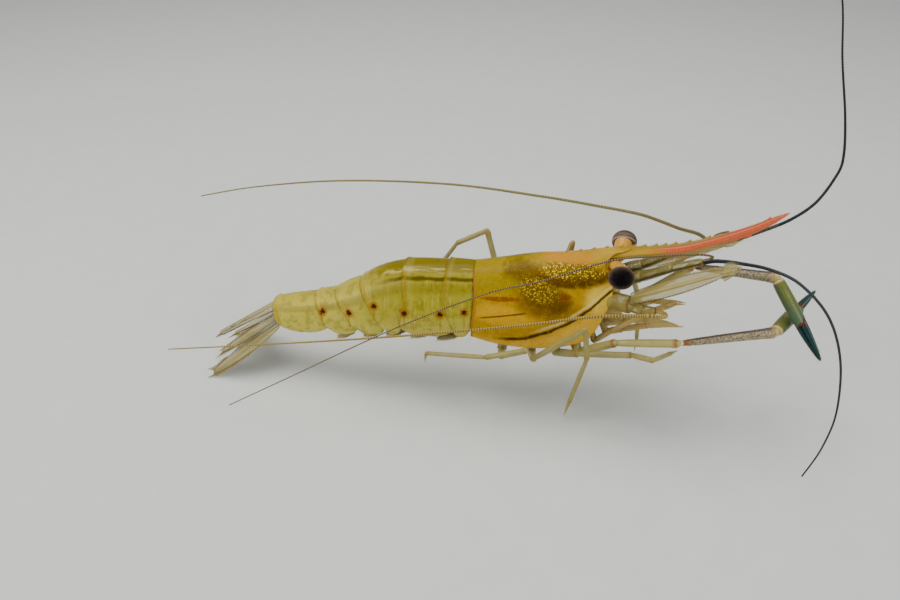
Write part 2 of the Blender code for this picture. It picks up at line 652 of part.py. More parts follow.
def make_eyes():
    for side_name, side in SIDES.items():
        centre = Vector((EYE_CENTRE[0], side * EYE_CENTRE[1], EYE_CENTRE[2]))
        outward = Vector((0.12, side, 0.06)).normalized()
        start = math.acos(EYE_FLAT / EYE_RADIUS)
        across, up = frames_along([outward], (0, 0, 1))[0]
        rings = []
        for k in range(7):
            angle = math.pi - start - (math.pi - start - 0.32) * k / 6
            ring_centre = centre + outward * (EYE_RADIUS * math.cos(angle))
            rings.append(ring_around(ring_centre, across, up, EYE_RADIUS * math.sin(angle), 12))
        bm = bmesh.new()
        skin(bm, rings)
        add_object("eye_" + side_name, bm, "eye")

        face = centre - outward * (EYE_FLAT + GAP)
        root = Vector((STALK_ROOT[0], side * STALK_ROOT[1], STALK_ROOT[2]))
        middle = root * 0.45 + face * 0.55 + Vector((0.35, 0, 0.1))
        tangents = [Vector((1, side * 0.25, 0)).normalized(), Vector((0.5, side, 0)).normalized(), outward]
        rings = []
        frames = frames_along(tangents, (0, 0, 1))
        for point, radius, (across, up) in zip((root, middle, face), STALK_RADII, frames):
            rings.append(ring_around(point, across, up, radius, 10))
        rings[0] = [Vector((STALK_ROOT[0], p.y, p.z)) for p in rings[0]]
        bm = bmesh.new()
        skin(bm, rings)
        add_object("eyestalk_" + side_name, bm, "shell")


def mirrored(points, side):
    return [Vector((x, side * y, z)) for x, y, z in points]


def make_antennules():
    routes = {
        ("outer", "left"): ROUTE_ANTENNULE_OUTER_LEFT,
        ("outer", "right"): ROUTE_ANTENNULE_OUTER_RIGHT,
        ("inner", "left"): ROUTE_ANTENNULE_INNER_LEFT,
        ("inner", "right"): ROUTE_ANTENNULE_INNER_RIGHT,
    }
    for side_name, side in SIDES.items():
        joints = mirrored(ANTENNULE, side)
        rings = limb_rings(joints, ANTENNULE_RADII, 8, root=Vector((1, 0, 0)), thin=0.85)
        bm = bmesh.new()
        skin(bm, rings)
        add_object("antennule_peduncle_" + side_name, bm, "limb")
        end = joints[-1]
        forward = (joints[-1] - joints[-2]).normalized()
        across = forward.cross(Vector((0, 0, 1))).normalized()
        for label, outward in (("outer", -1), ("inner", 1)):
            start = end + forward * GAP - across * (side * outward * FLAGELLUM_SPREAD)
            if label == "outer" and side_name == "right":
                start = end + forward * GAP - Vector((0, 0, 0.4)) + Vector((0, 0.25, 0))
            if label == "inner" and side_name == "right":
                start = end + forward * GAP + Vector((0, 0, 0.42)) - Vector((0, 0.25, 0))
            route = [start, start + forward * FEELER_START]
            route += [Vector(point) for point in routes[(label, side_name)]]
            if label == "outer":
                half = len(route) // 2
                lower = route[:half + 1]
                upper = route[half:]
                bend = (upper[1] - upper[0]).normalized()
                upper[0] = upper[0] + bend * GAP
                feeler("antennule_outer_%s_1" % side_name, lower, OUTER_ANTENNULE_RADII[:2], "feeler")
                feeler("antennule_outer_%s_2" % side_name, upper, OUTER_ANTENNULE_RADII[1:], "feeler")
            else:
                feeler("antennule_inner_" + side_name, route, INNER_ANTENNULE_RADII, "pale_feeler")


def make_antennae():
    routes = {"left": ROUTE_ANTENNA_LEFT, "right": ROUTE_ANTENNA_RIGHT}
    for side_name, side in SIDES.items():
        joints = mirrored(ANTENNA, side)
        tangents = [(b - a).normalized() for a, b in zip(joints, joints[1:])]
        tangents.append(tangents[-1])
        tangents[0] = Vector((1, 0, 0))
        rings = []
        for point, radius, (across, up) in zip(joints, ANTENNA_RADII, frames_along(tangents, (0, 0, 1))):
            rings.append(ring_around(point, across, up, radius, 9, 0.9))
        bm = bmesh.new()
        skin(bm, rings)
        add_object("antenna_peduncle_" + side_name, bm, "limb")

        start = joints[-1] + tangents[-1] * GAP
        route = [start, start + tangents[-1] * 0.9] + [Vector(p) for p in routes[side_name]]
        half = len(route) // 2 + 1
        lower, upper = route[:half + 1], route[half:]
        bend = (upper[1] - upper[0]).normalized()
        upper[0] = upper[0] + bend * GAP
        feeler("antenna_flagellum_%s_1" % side_name, lower, ANTENNA_FEELER_RADII[:2], "pale_feeler")
        feeler("antenna_flagellum_%s_2" % side_name, upper, ANTENNA_FEELER_RADII[1:], "pale_feeler")

        root = Vector((SCALE_ROOT[0], side * SCALE_ROOT[1], SCALE_ROOT[2]))
        run = Vector(SCALE_TIP[side_name]) - root
        pitch = math.asin(run.z / run.length)
        yaw = math.atan2(run.y, run.x)
        rings = blade_rings(run.length, SCALE_HALF_WIDTH, SCALE_THICKNESS,
                            lambda s: 0.33 + 0.67 * math.sin(math.pi * min(s * 1.05 + 0.1, 1.0)) ** 0.6
                            if s < 0.86 else 0.9 * (1 - ((s - 0.86) / 0.14) ** 2 * 0.8), 0.25)
        rings, forward = place_blade(rings, root, pitch, yaw, roll=-side * math.radians(12))
        bm = bmesh.new()
        skin(bm, rings)
        add_object("scale_" + side_name, bm, "fan")


def make_limb(name, joints, radii, sides, colour, foot=False, thin=1.0):
    """A jointed limb that starts just under the sternum."""
    root = (joints[0][0], joints[0][1], sternum_bottom(joints[0][0]) - GAP - ROOT_CLEARANCE)
    joints = [root] + joints[1:]
    rings = limb_rings(joints, radii, sides, root=Vector((0, 0, -1)), foot=foot, thin=thin)
    rings[0] = [Vector((p.x, p.y, sternum_bottom(p.x) - GAP - ROOT_CLEARANCE)) for p in rings[0]]
    bm = bmesh.new()
    skin(bm, rings)
    return add_object(name, bm, colour)


def make_claw(side_name):
    """Palm and two fingers, joined: the claw at the end of a long arm."""
    arm_end = Vector(ARM_JOINTS[side_name][-1])
    before = Vector(ARM_JOINTS[side_name][-2])
    tip = Vector(CLAW_TIP[side_name])
    forward = (tip - arm_end).normalized()
    length = (tip - arm_end).length
    across, up = frames_along([forward], (0, 0, 1))[0]
    clear = ARM_RADII[-1] * 0.9 + GAP
    start = arm_end + forward * clear
    palm = length * CLAW_PALM_SHARE
    rings = []
    for share, size in PALM_OUTLINE:
        centre = start + forward * ((palm - clear) * share)
        rings.append(ring_around(centre, across, up, CLAW_RADIUS * size, 10, CLAW_THINNESS))
    bm = bmesh.new()
    skin(bm, rings)
    claw = add_object("claw_" + side_name, bm, "claw")
    fingers = []
    for sign in (-1, 1):
        rings = []
        for share, size, spread in FINGER_OUTLINE:
            centre = arm_end + forward * (palm + (length - palm) * share)
            centre = centre + up * (sign * FINGER_RADIUS * spread * FINGER_APART)
            rings.append(ring_around(centre, across, up, FINGER_RADIUS * size, 7))
        bm = bmesh.new()
        skin(bm, rings)
        fingers.append(add_object("finger", bm, "claw"))
    return fuse(claw, fingers)


def make_pleopods():
    """Five pairs of swimmerets, each a short stem with an outer and an inner blade."""
    for number in range(1, 6):
        front, rear = ABDOMEN_JOINTS[number - 1], ABDOMEN_JOINTS[number]
        x = (front[2] + rear[2]) / 2 + 0.9
        size = 1.0 - PLEOPOD_SHRINK * (number - 1)
        for side_name, side in SIDES.items():
            y = side * (PLEOPOD_SPACING[0] + PLEOPOD_SPACING[1] * size)
            top = roof_height(number, x) - GAP - 0.1
            knee = Vector((x - 0.3, y * 1.02, top - PLEOPOD_BASE * size))
            rings = []
            for share, radius in PLEOPOD_STEM:
                centre = Vector((x, y, top)).lerp(knee, share)
                forward, left = Vector((1, 0, 0)), Vector((0, 1, 0))
                rings.append(ring_around(centre, forward, left, radius * size, 8, 0.8))
            rings[0] = [Vector((p.x, p.y, roof_height(number, p.x) - GAP)) for p in rings[0]]
            bm = bmesh.new()
            skin(bm, rings)
            stem = add_object("pleopod_%d_%s" % (number, side_name), bm, "limb")
            blades = []
            for sideways, length, half_width in PLEOPOD_BLADES:
                rings = blade_rings(length * size, half_width * size, 0.26,
                                    lambda s: math.sin(math.pi * (0.2 + 0.74 * s)) ** 0.7, 0.1, steps=5)
                root = knee + Vector((0.35, side * sideways * 0.5, 0.3))
                yaw = math.pi - side * math.radians(22 * sideways)
                rings, _ = place_blade(rings, root, math.radians(-14), yaw, roll=side * math.radians(14))
                bm = bmesh.new()
                skin(bm, rings)
                blades.append(add_object("blade", bm, "limb"))
            fuse(stem, blades)


def stand_at_origin():
    """Moves the animal so that the middle of its box stands on the origin."""
    items = [item for item in bpy.data.objects if item.type == "MESH"]
    corners = [vertex.co for item in items for vertex in item.data.vertices]
    middle_x = (min(c.x for c in corners) + max(c.x for c in corners)) / 2
    middle_y = (min(c.y for c in corners) + max(c.y for c in corners)) / 2
    for item in items:
        for vertex in item.data.vertices:
            vertex.co.x -= middle_x
            vertex.co.y -= middle_y
    print("moved by", -middle_x, -middle_y)


def build():
    clear_scene()
    make_carapace()
    make_rostrum()
    make_sternum()
    make_abdomen()
    make_tail_fan()
    make_eyes()
    make_antennules()
    make_antennae()
    for (label, side_name), joints in LEG_JOINTS.items():
        foot = (label, side_name) in FLOOR_LEGS
        make_limb(label + "_" + side_name, joints, LEG_RADII, 6, "limb", foot=foot)
    for (label, side_name), joints in SMALL_LIMB_JOINTS.items():
        make_limb(label + "_" + side_name, joints, SMALL_LIMB_RADII[label], 6, "limb")
    for side_name in SIDES:
        make_limb("arm_" + side_name, ARM_JOINTS[side_name], ARM_RADII, 8, "limb")
        make_claw(side_name)
    make_pleopods()
    stand_at_origin()


build()
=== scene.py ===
# %% [markdown]
# # A giant river prawn, step by step
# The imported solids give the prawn's pose and sizes. This lesson dresses them: every solid is
# replaced by a finer piece of shell, limb or feeler that stands in the same place.
# We start by loading the solids, because each later step is placed from them.

# %% Load the frame
import math
import random

import bpy
from mathutils import Matrix, Vector


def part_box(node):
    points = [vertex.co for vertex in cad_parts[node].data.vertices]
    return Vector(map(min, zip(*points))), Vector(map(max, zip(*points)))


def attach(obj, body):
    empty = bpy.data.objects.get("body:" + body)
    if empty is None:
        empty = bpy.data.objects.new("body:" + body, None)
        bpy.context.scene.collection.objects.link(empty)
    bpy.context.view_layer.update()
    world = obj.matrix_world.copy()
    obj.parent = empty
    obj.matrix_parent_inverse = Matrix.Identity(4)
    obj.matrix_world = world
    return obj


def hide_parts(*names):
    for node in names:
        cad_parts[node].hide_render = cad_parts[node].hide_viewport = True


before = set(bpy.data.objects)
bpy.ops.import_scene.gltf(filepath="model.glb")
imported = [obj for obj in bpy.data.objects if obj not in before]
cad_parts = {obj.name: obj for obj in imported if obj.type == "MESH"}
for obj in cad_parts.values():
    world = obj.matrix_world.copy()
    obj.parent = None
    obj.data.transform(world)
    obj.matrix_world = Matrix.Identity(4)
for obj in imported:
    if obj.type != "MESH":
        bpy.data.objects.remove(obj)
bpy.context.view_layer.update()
bpy.ops.object.select_all(action="DESELECT")
print("solids loaded:", len(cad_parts))

# %% [markdown]
# All sizes are written in millimetres in the prawn's own frame: x runs towards the head, y to
# its left and z up from the floor, with x = 0 between the eyes. The frame's carapace tells
# where that point lies, so nothing here is placed by guess.

# %% Find the prawn's own origin
MM = 0.001
CARAPACE_REAR = -22.4
shell_low, shell_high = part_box("carapace")
ORIGIN = Vector((shell_low.x - CARAPACE_REAR * MM, (shell_low.y + shell_high.y) / 2, 0))
SIDES = {"right": -1, "left": 1}


def spot(x, y, z):
    """A place in millimetres on the prawn as a place in the frame."""
    return ORIGIN + Vector((x, y, z)) * MM


print("between the eyes at", [round(value, 5) for value in ORIGIN])

# %% [markdown]
# The camera comes first, so that each piece can be looked at as it is made. The photograph
# looks down on the prawn's right side from a little in front. A 40 mm lens at about
# 17 cm shows the body from claws to tail, as in the photograph.

# %% Set up the camera
CAMERA_PLACE = (-0.1, -142.45, 99.0)
CAMERA_TURN = math.radians(10.7)
CAMERA_DIP = math.radians(30)
LENS = 40                      # focal length and film width in millimetres
FILM_WIDTH = 36
NEAREST = 5 * MM
bpy.ops.object.camera_add(location=spot(*CAMERA_PLACE))
camera = bpy.context.object
camera.rotation_euler = (math.radians(90) - CAMERA_DIP, 0, CAMERA_TURN)
camera.data.lens = LENS
camera.data.sensor_width = FILM_WIDTH
camera.data.clip_start = NEAREST
bpy.context.scene.camera = camera
print("camera", round(camera.location.length * 1000), "mm from the origin")

# %% [markdown]
# Wet shell mirrors every lamp, so the lamps stand where their mirror images fall on the back and
# not on the painted sides: the key lamp above and a little behind, as in the photograph, and
# two fill lamps far out beyond head and tail. A pale world lifts the shadows. The floor is
# plain and pale.

# %% Light the stage
FLOOR_SIZE = 4.0
LIGHT_AIM = (-10, 0, 12)
ROOM_COLOUR = (0.84, 0.87, 0.88, 1)
ROOM_LIGHT = 0.36
LAMPS = [
    # name, place, size in metres, watts, colour
    ("key_light", (-70, 60, 350), 0.30, 1.45, (1.0, 0.95, 0.87)),
    ("tail_light", (-300, -190, 170), 0.22, 0.75, (1.0, 0.98, 0.95)),
    ("head_light", (290, -170, 150), 0.20, 0.70, (0.97, 0.98, 1.0)),
]


def soft_light(name, place, size, power, colour):
    """A square lamp that looks at the middle of the prawn."""
    bpy.ops.object.light_add(type="AREA", location=spot(*place))
    lamp = bpy.context.object
    lamp.name = name
    lamp.data.size = size
    lamp.data.energy = power
    lamp.data.color = colour
    aim = spot(*LIGHT_AIM) - lamp.location
    lamp.rotation_euler = aim.to_track_quat("-Z", "Y").to_euler()


for lamp_row in LAMPS:
    soft_light(*lamp_row)
world = bpy.data.worlds.new("pale_room")
world.use_nodes = True
background = world.node_tree.nodes["Background"]
background.inputs["Color"].default_value = ROOM_COLOUR
background.inputs["Strength"].default_value = ROOM_LIGHT
bpy.context.scene.world = world

bpy.ops.mesh.primitive_plane_add(size=FLOOR_SIZE, location=(0, 0, 0))
floor = bpy.context.object
floor.name = "floor"

# %% [markdown]
# Materials are built from nodes. A few helpers keep each recipe short: one adds a node, one
# mixes two colours, one turns a value into a soft mask, and one gives the place on the prawn
# in millimetres, so that a marking can be painted where it lies on the real animal. A painted
# picture could do the same, but nodes need no picture and hold from every side.

# %% Node helpers
SKIN_DEPTH = 1.5 * MM          # how far light goes into soft shell
SKIN_TINT = (1.0, 0.6, 0.25)
WET_COAT_ROUGHNESS = 0.06
LOW_SPECULAR = 0.2
PER_METRE = 1 / MM


class Recipe:
    """A material in the making: its tree, its shader and short ways to add to them."""

    def __init__(self, name, roughness=0.35, coat=0.0, soft=0.0, specular=LOW_SPECULAR):
        self.material = bpy.data.materials.new(name)
        self.material.use_nodes = True
        self.tree = self.material.node_tree
        self.shader = self.tree.nodes["Principled BSDF"]
        self.shader.inputs["Roughness"].default_value = roughness
        self.shader.inputs["Coat Weight"].default_value = coat
        self.shader.inputs["Coat Roughness"].default_value = WET_COAT_ROUGHNESS
        self.shader.inputs["Specular IOR Level"].default_value = specular
        self.shader.inputs["Subsurface Weight"].default_value = soft
        self.shader.inputs["Subsurface Radius"].default_value = SKIN_TINT
        self.shader.inputs["Subsurface Scale"].default_value = SKIN_DEPTH
        coordinates = self.node("ShaderNodeTexCoord")
        self.here = coordinates.outputs["Object"]
        self.sheet = coordinates.outputs["UV"]

    def node(self, kind, inputs=None, **settings):
        """A new node; an input is a value or another node's socket."""
        item = self.tree.nodes.new(kind)
        for key, value in settings.items():
            setattr(item, key, value)
        for key, value in (inputs or {}).items():
            if isinstance(value, bpy.types.NodeSocket):
                self.tree.links.new(value, item.inputs[key])
            else:
                item.inputs[key].default_value = value
        return item

    def math(self, operation, first, second=0.0, third=0.0):
        inputs = {0: first, 1: second, 2: third}
        return self.node("ShaderNodeMath", inputs, operation=operation).outputs[0]

    def mask(self, value, start, end):
        """0 at start and 1 at end, smooth between them."""
        inputs = {"Value": value, "From Min": start, "From Max": end}
        return self.node("ShaderNodeMapRange", inputs, interpolation_type="SMOOTHSTEP").outputs["Result"]

    def between(self, share, low, high):
        """low where share is 0 and high where it is 1."""
        inputs = {"Value": share, "To Min": low, "To Max": high}
        return self.node("ShaderNodeMapRange", inputs).outputs["Result"]

    def mix(self, share, first, second):
        """A colour between first and second."""
        item = self.tree.nodes.new("ShaderNodeMix")
        item.data_type = "RGBA"
        for socket, value in ((item.inputs[0], share), (item.inputs[6], first), (item.inputs[7], second)):
            if isinstance(value, bpy.types.NodeSocket):
                self.tree.links.new(value, socket)
            else:
                socket.default_value = value
        return item.outputs[2]

    def body_place(self):
        """x, y and z on the prawn, in millimetres."""
        moved = self.node("ShaderNodeVectorMath", {0: self.here, 1: ORIGIN}, operation="SUBTRACT")
        inputs = {0: moved.outputs[0], "Scale": PER_METRE}
        scaled = self.node("ShaderNodeVectorMath", inputs, operation="SCALE")
        split = self.node("ShaderNodeSeparateXYZ", {0: scaled.outputs[0]})
        return split.outputs

    def sheet_place(self):
        """The place on the piece's own map, across it and along it."""
        split = self.node("ShaderNodeSeparateXYZ", {0: self.sheet})
        return split.outputs

    def noise(self, size, detail=4.0, rough=0.55):
        """Soft random values; size is that of one blot in millimetres."""
        inputs = {"Vector": self.here, "Scale": PER_METRE / size, "Detail": detail, "Roughness": rough}
        return self.node("ShaderNodeTexNoise", inputs).outputs["Fac"]

    def streaks(self, x, y, z):
        """Noise drawn out into streaks; x, y and z are blots per metre in each direction."""
        scales = {"Vector": self.here, "Scale": (x, y, z)}
        stretched = self.node("ShaderNodeMapping", scales).outputs[0]
        inputs = {"Vector": stretched, "Scale": 1.0, "Detail": 3.0}
        return self.node("ShaderNodeTexNoise", inputs).outputs["Fac"]

    def freckles(self, spacing, radius, soft=0.35):
        """Small round spots; spacing and radius in millimetres."""
        cells = self.node("ShaderNodeTexVoronoi", {"Vector": self.here, "Scale": PER_METRE / spacing})
        edge = radius / spacing
        spots = self.mask(cells.outputs["Distance"], edge * (1 + soft), edge * (1 - soft))
        split = self.node("ShaderNodeSeparateColor", {0: cells.outputs["Color"]})
        chosen = self.mask(split.outputs[0], 0.35, 0.6)
        return self.math("MULTIPLY", spots, chosen)

    def paint(self, colour):
        self.tree.links.new(colour, self.shader.inputs["Base Color"])

    def bump(self, height, depth):
        """Raises the surface by height, 0 to 1, times depth in millimetres."""
        item = self.node("ShaderNodeBump", {"Height": height, "Distance": depth * MM, "Strength": 1.0})
        self.tree.links.new(item.outputs[0], self.shader.inputs["Normal"])

    def gloss(self, value, low, high):
        """Lets the roughness wander between low and high."""
        self.tree.links.new(self.between(value, low, high), self.shader.inputs["Roughness"])

    def clear(self, solid):
        """How solid the surface looks: 1 hides what is behind it."""
        self.tree.links.new(solid, self.shader.inputs["Alpha"])


def rgb(red, green, blue):
    """A solid colour."""
    return (red, green, blue, 1.0)


floor_recipe = Recipe("pale_floor", roughness=0.6)
grain = floor_recipe.noise(6.0)
floor_recipe.paint(floor_recipe.mix(grain, rgb(0.56, 0.585, 0.58), rgb(0.62, 0.64, 0.63)))
floor.data.materials.append(floor_recipe.material)
print("helpers ready")

# %% [markdown]
# Markings on shell are lines, bands and patches. Three helpers turn a measured value into one
# of them. The patch has a wavy edge, because nothing inside an animal ends in a clean oval.

# %% Marking helpers
LINE_CORE = 0.35               # share of a line's width where it is at its darkest
PATCH_WAVE = 1.2
PATCH_EDGE = 1.6               # 1 for the oval itself, and half the wave


def line_mask(recipe, value, width):
    """A thin line where value is near zero; width in millimetres."""
    distance = recipe.math("ABSOLUTE", value)
    return recipe.mask(distance, width, width * LINE_CORE)


def band(recipe, value, low, high, soft):
    """1 between low and high, fading over soft on both sides."""
    rise = recipe.mask(value, low - soft, low + soft)
    fall = recipe.mask(value, high + soft, high - soft)
    return recipe.math("MULTIPLY", rise, fall)


def patch(recipe, x, z, centre, size, wobble, tilt=0.0, soft=0.8):
    """An oval patch with a wavy edge on the side of the body; tilt is its slope."""
    dx = recipe.math("SUBTRACT", x, centre[0])
    dz = recipe.math("SUBTRACT", recipe.math("SUBTRACT", z, centre[1]), recipe.math("MULTIPLY", dx, tilt))
    dx = recipe.math("DIVIDE", dx, size[0])
    dz = recipe.math("DIVIDE", dz, size[1])
    square = recipe.math("ADD", recipe.math("MULTIPLY", dx, dx), recipe.math("MULTIPLY", dz, dz))
    rough = recipe.math("ADD", square, recipe.math("MULTIPLY", wobble, PATCH_WAVE))
    return recipe.mask(rough, PATCH_EDGE + soft / 2, PATCH_EDGE - soft / 2)


def lay(recipe, colour, mask, share, paint):
    """Lays paint over colour where the mask is 1, at most by share."""
    return recipe.mix(recipe.math("MULTIPLY", mask, share), colour, paint)


print("marking helpers ready")

# %% [markdown]
# The carapace is amber and lets the organs show through. Its colour is laid in layers: amber
# shell, an olive back, light golden sides, the dark digestive gland with gold specks behind the
# eyes, an orange streak under the crest and thin dark lines along the side, with a pale painted
# highlight just above the front one. Each layer is placed by x and z on the body, so both sides
# of the animal carry the same pattern. The organs could also be modelled under a clear shell;
# painted on it they keep their colour in any light.

# %% Carapace colour
GOLD_PATCHES = [
    # centre, size, slope, strength of the specks
    ((-6.4, 24.6), (5.2, 1.15), 0.06, 1.0),
    ((-12.0, 21.4), (3.2, 1.75), -0.10, 0.62),
]
DARK_PATCHES = [
    # centre, size, slope, strength
    ((-7.6, 23.1), (5.6, 0.95), 0.05, 0.95),
    ((-2.6, 24.6), (2.4, 1.2), 0.0, 0.80),
    ((-14.0, 23.5), (3.8, 1.2), 0.06, 0.70),
    ((-10.4, 20.4), (3.8, 2.0), -0.20, 0.66),
]
RED_PATCHES = [
    ((-7.6, 20.7), (1.0, 0.5), 0.3),
    ((-17.8, 19.4), (3.2, 0.38), 0.10),
]


def side_line(recipe, x, z, wobble):
    """Height above the dark line that runs from the eye down to the leg roots."""
    curve = recipe.math("MULTIPLY", recipe.math("MULTIPLY", x, x), 0.0285)
    line = recipe.math("ADD", curve, recipe.math("MULTIPLY_ADD", x, 1.10, 22.6))
    drop = recipe.math("SUBTRACT", z, line)
    return recipe.math("ADD", drop, recipe.math("MULTIPLY_ADD", wobble, 0.9, -0.45))


def carapace_material():
    shell = Recipe("carapace_shell", roughness=0.28, coat=0.02, soft=0.05, specular=0.06)
    place = shell.body_place()
    x, z = place[0], place[2]
    wobble = shell.noise(2.4)
    cloud = shell.noise(0.9, detail=5.0)
    fine = shell.noise(0.42, detail=5.0)
    colour = shell.mix(cloud, rgb(0.32, 0.165, 0.001), rgb(0.50, 0.30, 0.004))
    crest = shell.math("MULTIPLY_ADD", x, 0.185, 27.3)
    below_crest = shell.math("SUBTRACT", crest, z)
    rear = shell.mask(x, -8.0, -15.0)
    back = shell.math("MULTIPLY", rear, shell.mask(below_crest, 5.5, 2.2))
    colour = lay(shell, colour, back, 0.85, rgb(0.25, 0.185, 0.001))
    drop = side_line(shell, x, z, wobble)
    colour = lay(shell, colour, shell.mask(drop, 0.6, -1.6), 0.85, rgb(0.74, 0.42, 0.040))
    glow = patch(shell, x, z, (-17.0, 16.6), (5.4, 1.8), wobble, soft=1.4)
    colour = lay(shell, colour, glow, 0.75, rgb(0.66, 0.36, 0.006))
    cheek = patch(shell, x, z, (-1.6, 20.6), (2.8, 2.4), wobble, soft=1.4)
    colour = lay(shell, colour, cheek, 0.85, rgb(0.80, 0.56, 0.065))
    shade = patch(shell, x, z, (-11.0, 19.6), (4.6, 2.8), wobble, tilt=-0.1, soft=1.6)
    colour = lay(shell, colour, shade, 0.8, rgb(0.13, 0.060, 0.001))
    deep = shell.mix(fine, rgb(0.028, 0.010, 0.001), rgb(0.13, 0.055, 0.001))
    for centre, size, tilt, strength in DARK_PATCHES:
        dark = patch(shell, x, z, centre, size, cloud, tilt, soft=1.4)
        colour = lay(shell, colour, dark, strength, deep)
    gold_spots = shell.math("MAXIMUM", shell.freckles(0.34, 0.12), shell.freckles(0.27, 0.085))
    gold_bed = shell.mix(fine, rgb(0.050, 0.026, 0.001), rgb(0.21, 0.125, 0.001))
    for centre, size, tilt, strength in GOLD_PATCHES:
        field = patch(shell, x, z, centre, size, wobble, tilt, soft=1.2)
        colour = lay(shell, colour, field, 0.88, gold_bed)
        spots_here = shell.math("MULTIPLY", gold_spots, field)
        colour = lay(shell, colour, spots_here, strength, rgb(0.98, 0.64, 0.035))
    for centre, size, tilt in RED_PATCHES:
        red = patch(shell, x, z, centre, size, cloud, tilt, soft=1.2)
        colour = lay(shell, colour, red, 0.85, rgb(0.20, 0.048, 0.001))
    streak = patch(shell, x, z, (-7.4, 25.75), (4.2, 0.42), cloud, 0.10, soft=1.2)
    colour = lay(shell, colour, streak, 0.92, rgb(0.47, 0.20, 0.0004))
    root = shell.math("MULTIPLY", shell.mask(x, -5.0, -1.6), shell.mask(z, 24.6, 25.6))
    colour = lay(shell, colour, root, 0.9, shell.mix(wobble, rgb(0.34, 0.20, 0.006), rgb(0.48, 0.31, 0.025)))
    fade = shell.math("MULTIPLY", shell.mask(x, -19.5, -16.0), line_mask(shell, drop, 0.46))
    colour = lay(shell, colour, fade, 0.95, rgb(0.040, 0.014, 0.001))
    # Painted highlight: a pale line just above the dark side line, towards the front.
    lower = line_mask(shell, shell.math("SUBTRACT", drop, 0.85), 0.4)
    lower = shell.math("MULTIPLY", lower, shell.mask(x, -14.0, -9.0))
    colour = lay(shell, colour, lower, 0.6, rgb(0.80, 0.60, 0.25))
    thin = shell.math("SUBTRACT", z, shell.math("MULTIPLY_ADD", x, 0.26, 21.2))
    thin = shell.math("MULTIPLY", line_mask(shell, thin, 0.24), band(shell, x, -21.0, -13.5, 0.8))
    colour = lay(shell, colour, thin, 0.9, rgb(0.13, 0.036, 0.002))
    grains = shell.noise(0.22, detail=3.0)
    veil = shell.math("MULTIPLY", shell.mask(grains, 0.52, 0.66), shell.mask(cloud, 0.42, 0.60))
    colour = lay(shell, colour, veil, 0.28, rgb(0.62, 0.44, 0.03))
    shadow = shell.math("MULTIPLY", shell.mask(grains, 0.48, 0.34), shell.mask(cloud, 0.58, 0.40))
    colour = lay(shell, colour, shadow, 0.38, rgb(0.13, 0.062, 0.001))
    dots = shell.freckles(0.9, 0.07)
    colour = lay(shell, colour, dots, 0.6, rgb(0.22, 0.05, 0.006))
    across, along = shell.sheet_place()[:2]
    rims = shell.math("MAXIMUM", shell.mask(along, 0.022, 0.006), shell.mask(along, 0.988, 0.998))
    from_crest = shell.math("ABSOLUTE", shell.math("SUBTRACT", across, 0.5))
    rims = shell.math("MULTIPLY", rims, shell.mask(from_crest, 0.05, 0.10))
    colour = lay(shell, colour, rims, 0.75, rgb(0.34, 0.13, 0.012))
    shell.paint(colour)
    pits = shell.freckles(0.5, 0.13)
    relief = shell.math("SUBTRACT", shell.math("MULTIPLY", fine, 0.7), shell.math("MULTIPLY", pits, 0.3))
    shell.bump(relief, 0.06)
    shell.gloss(wobble, 0.14, 0.30)
    return shell.material


CARAPACE_SHELL = carapace_material()
print("made", CARAPACE_SHELL.name)

# %% [markdown]
# The abdomen is olive and clear, with a brighter, glassy band along its back: partly the clear
# shell's paler colour and partly a painted highlight, broken into streaks. A dark gut runs under
# the back, muscle fibres stand in fine upright bundles, every plate ends in a thin brown rim, and
# a dark red spot marks each hinge between two plates. Back and gut are placed by each plate's own
# map, because the abdomen bends down and a height above the floor would not follow it.

# %% Abdomen colour
HINGES = [(-23.7, 16.3), (-27.6, 15.6), (-33.6, 15.3), (-38.9, 15.6), (-43.4, 13.5), (-48.3, 12.8)]
BACK_SPOT = (-29.2, 22.9)


def round_distance(recipe, x, z, centre, ragged):
    """Square of the distance from a place on the side, made uneven by ragged noise."""
    dx = recipe.math("SUBTRACT", x, centre[0])
    dz = recipe.math("SUBTRACT", z, centre[1])
    square = recipe.math("ADD", recipe.math("MULTIPLY", dx, dx), recipe.math("MULTIPLY", dz, dz))
    return recipe.math("ADD", square, recipe.math("MULTIPLY_ADD", ragged, 0.9, -0.45))


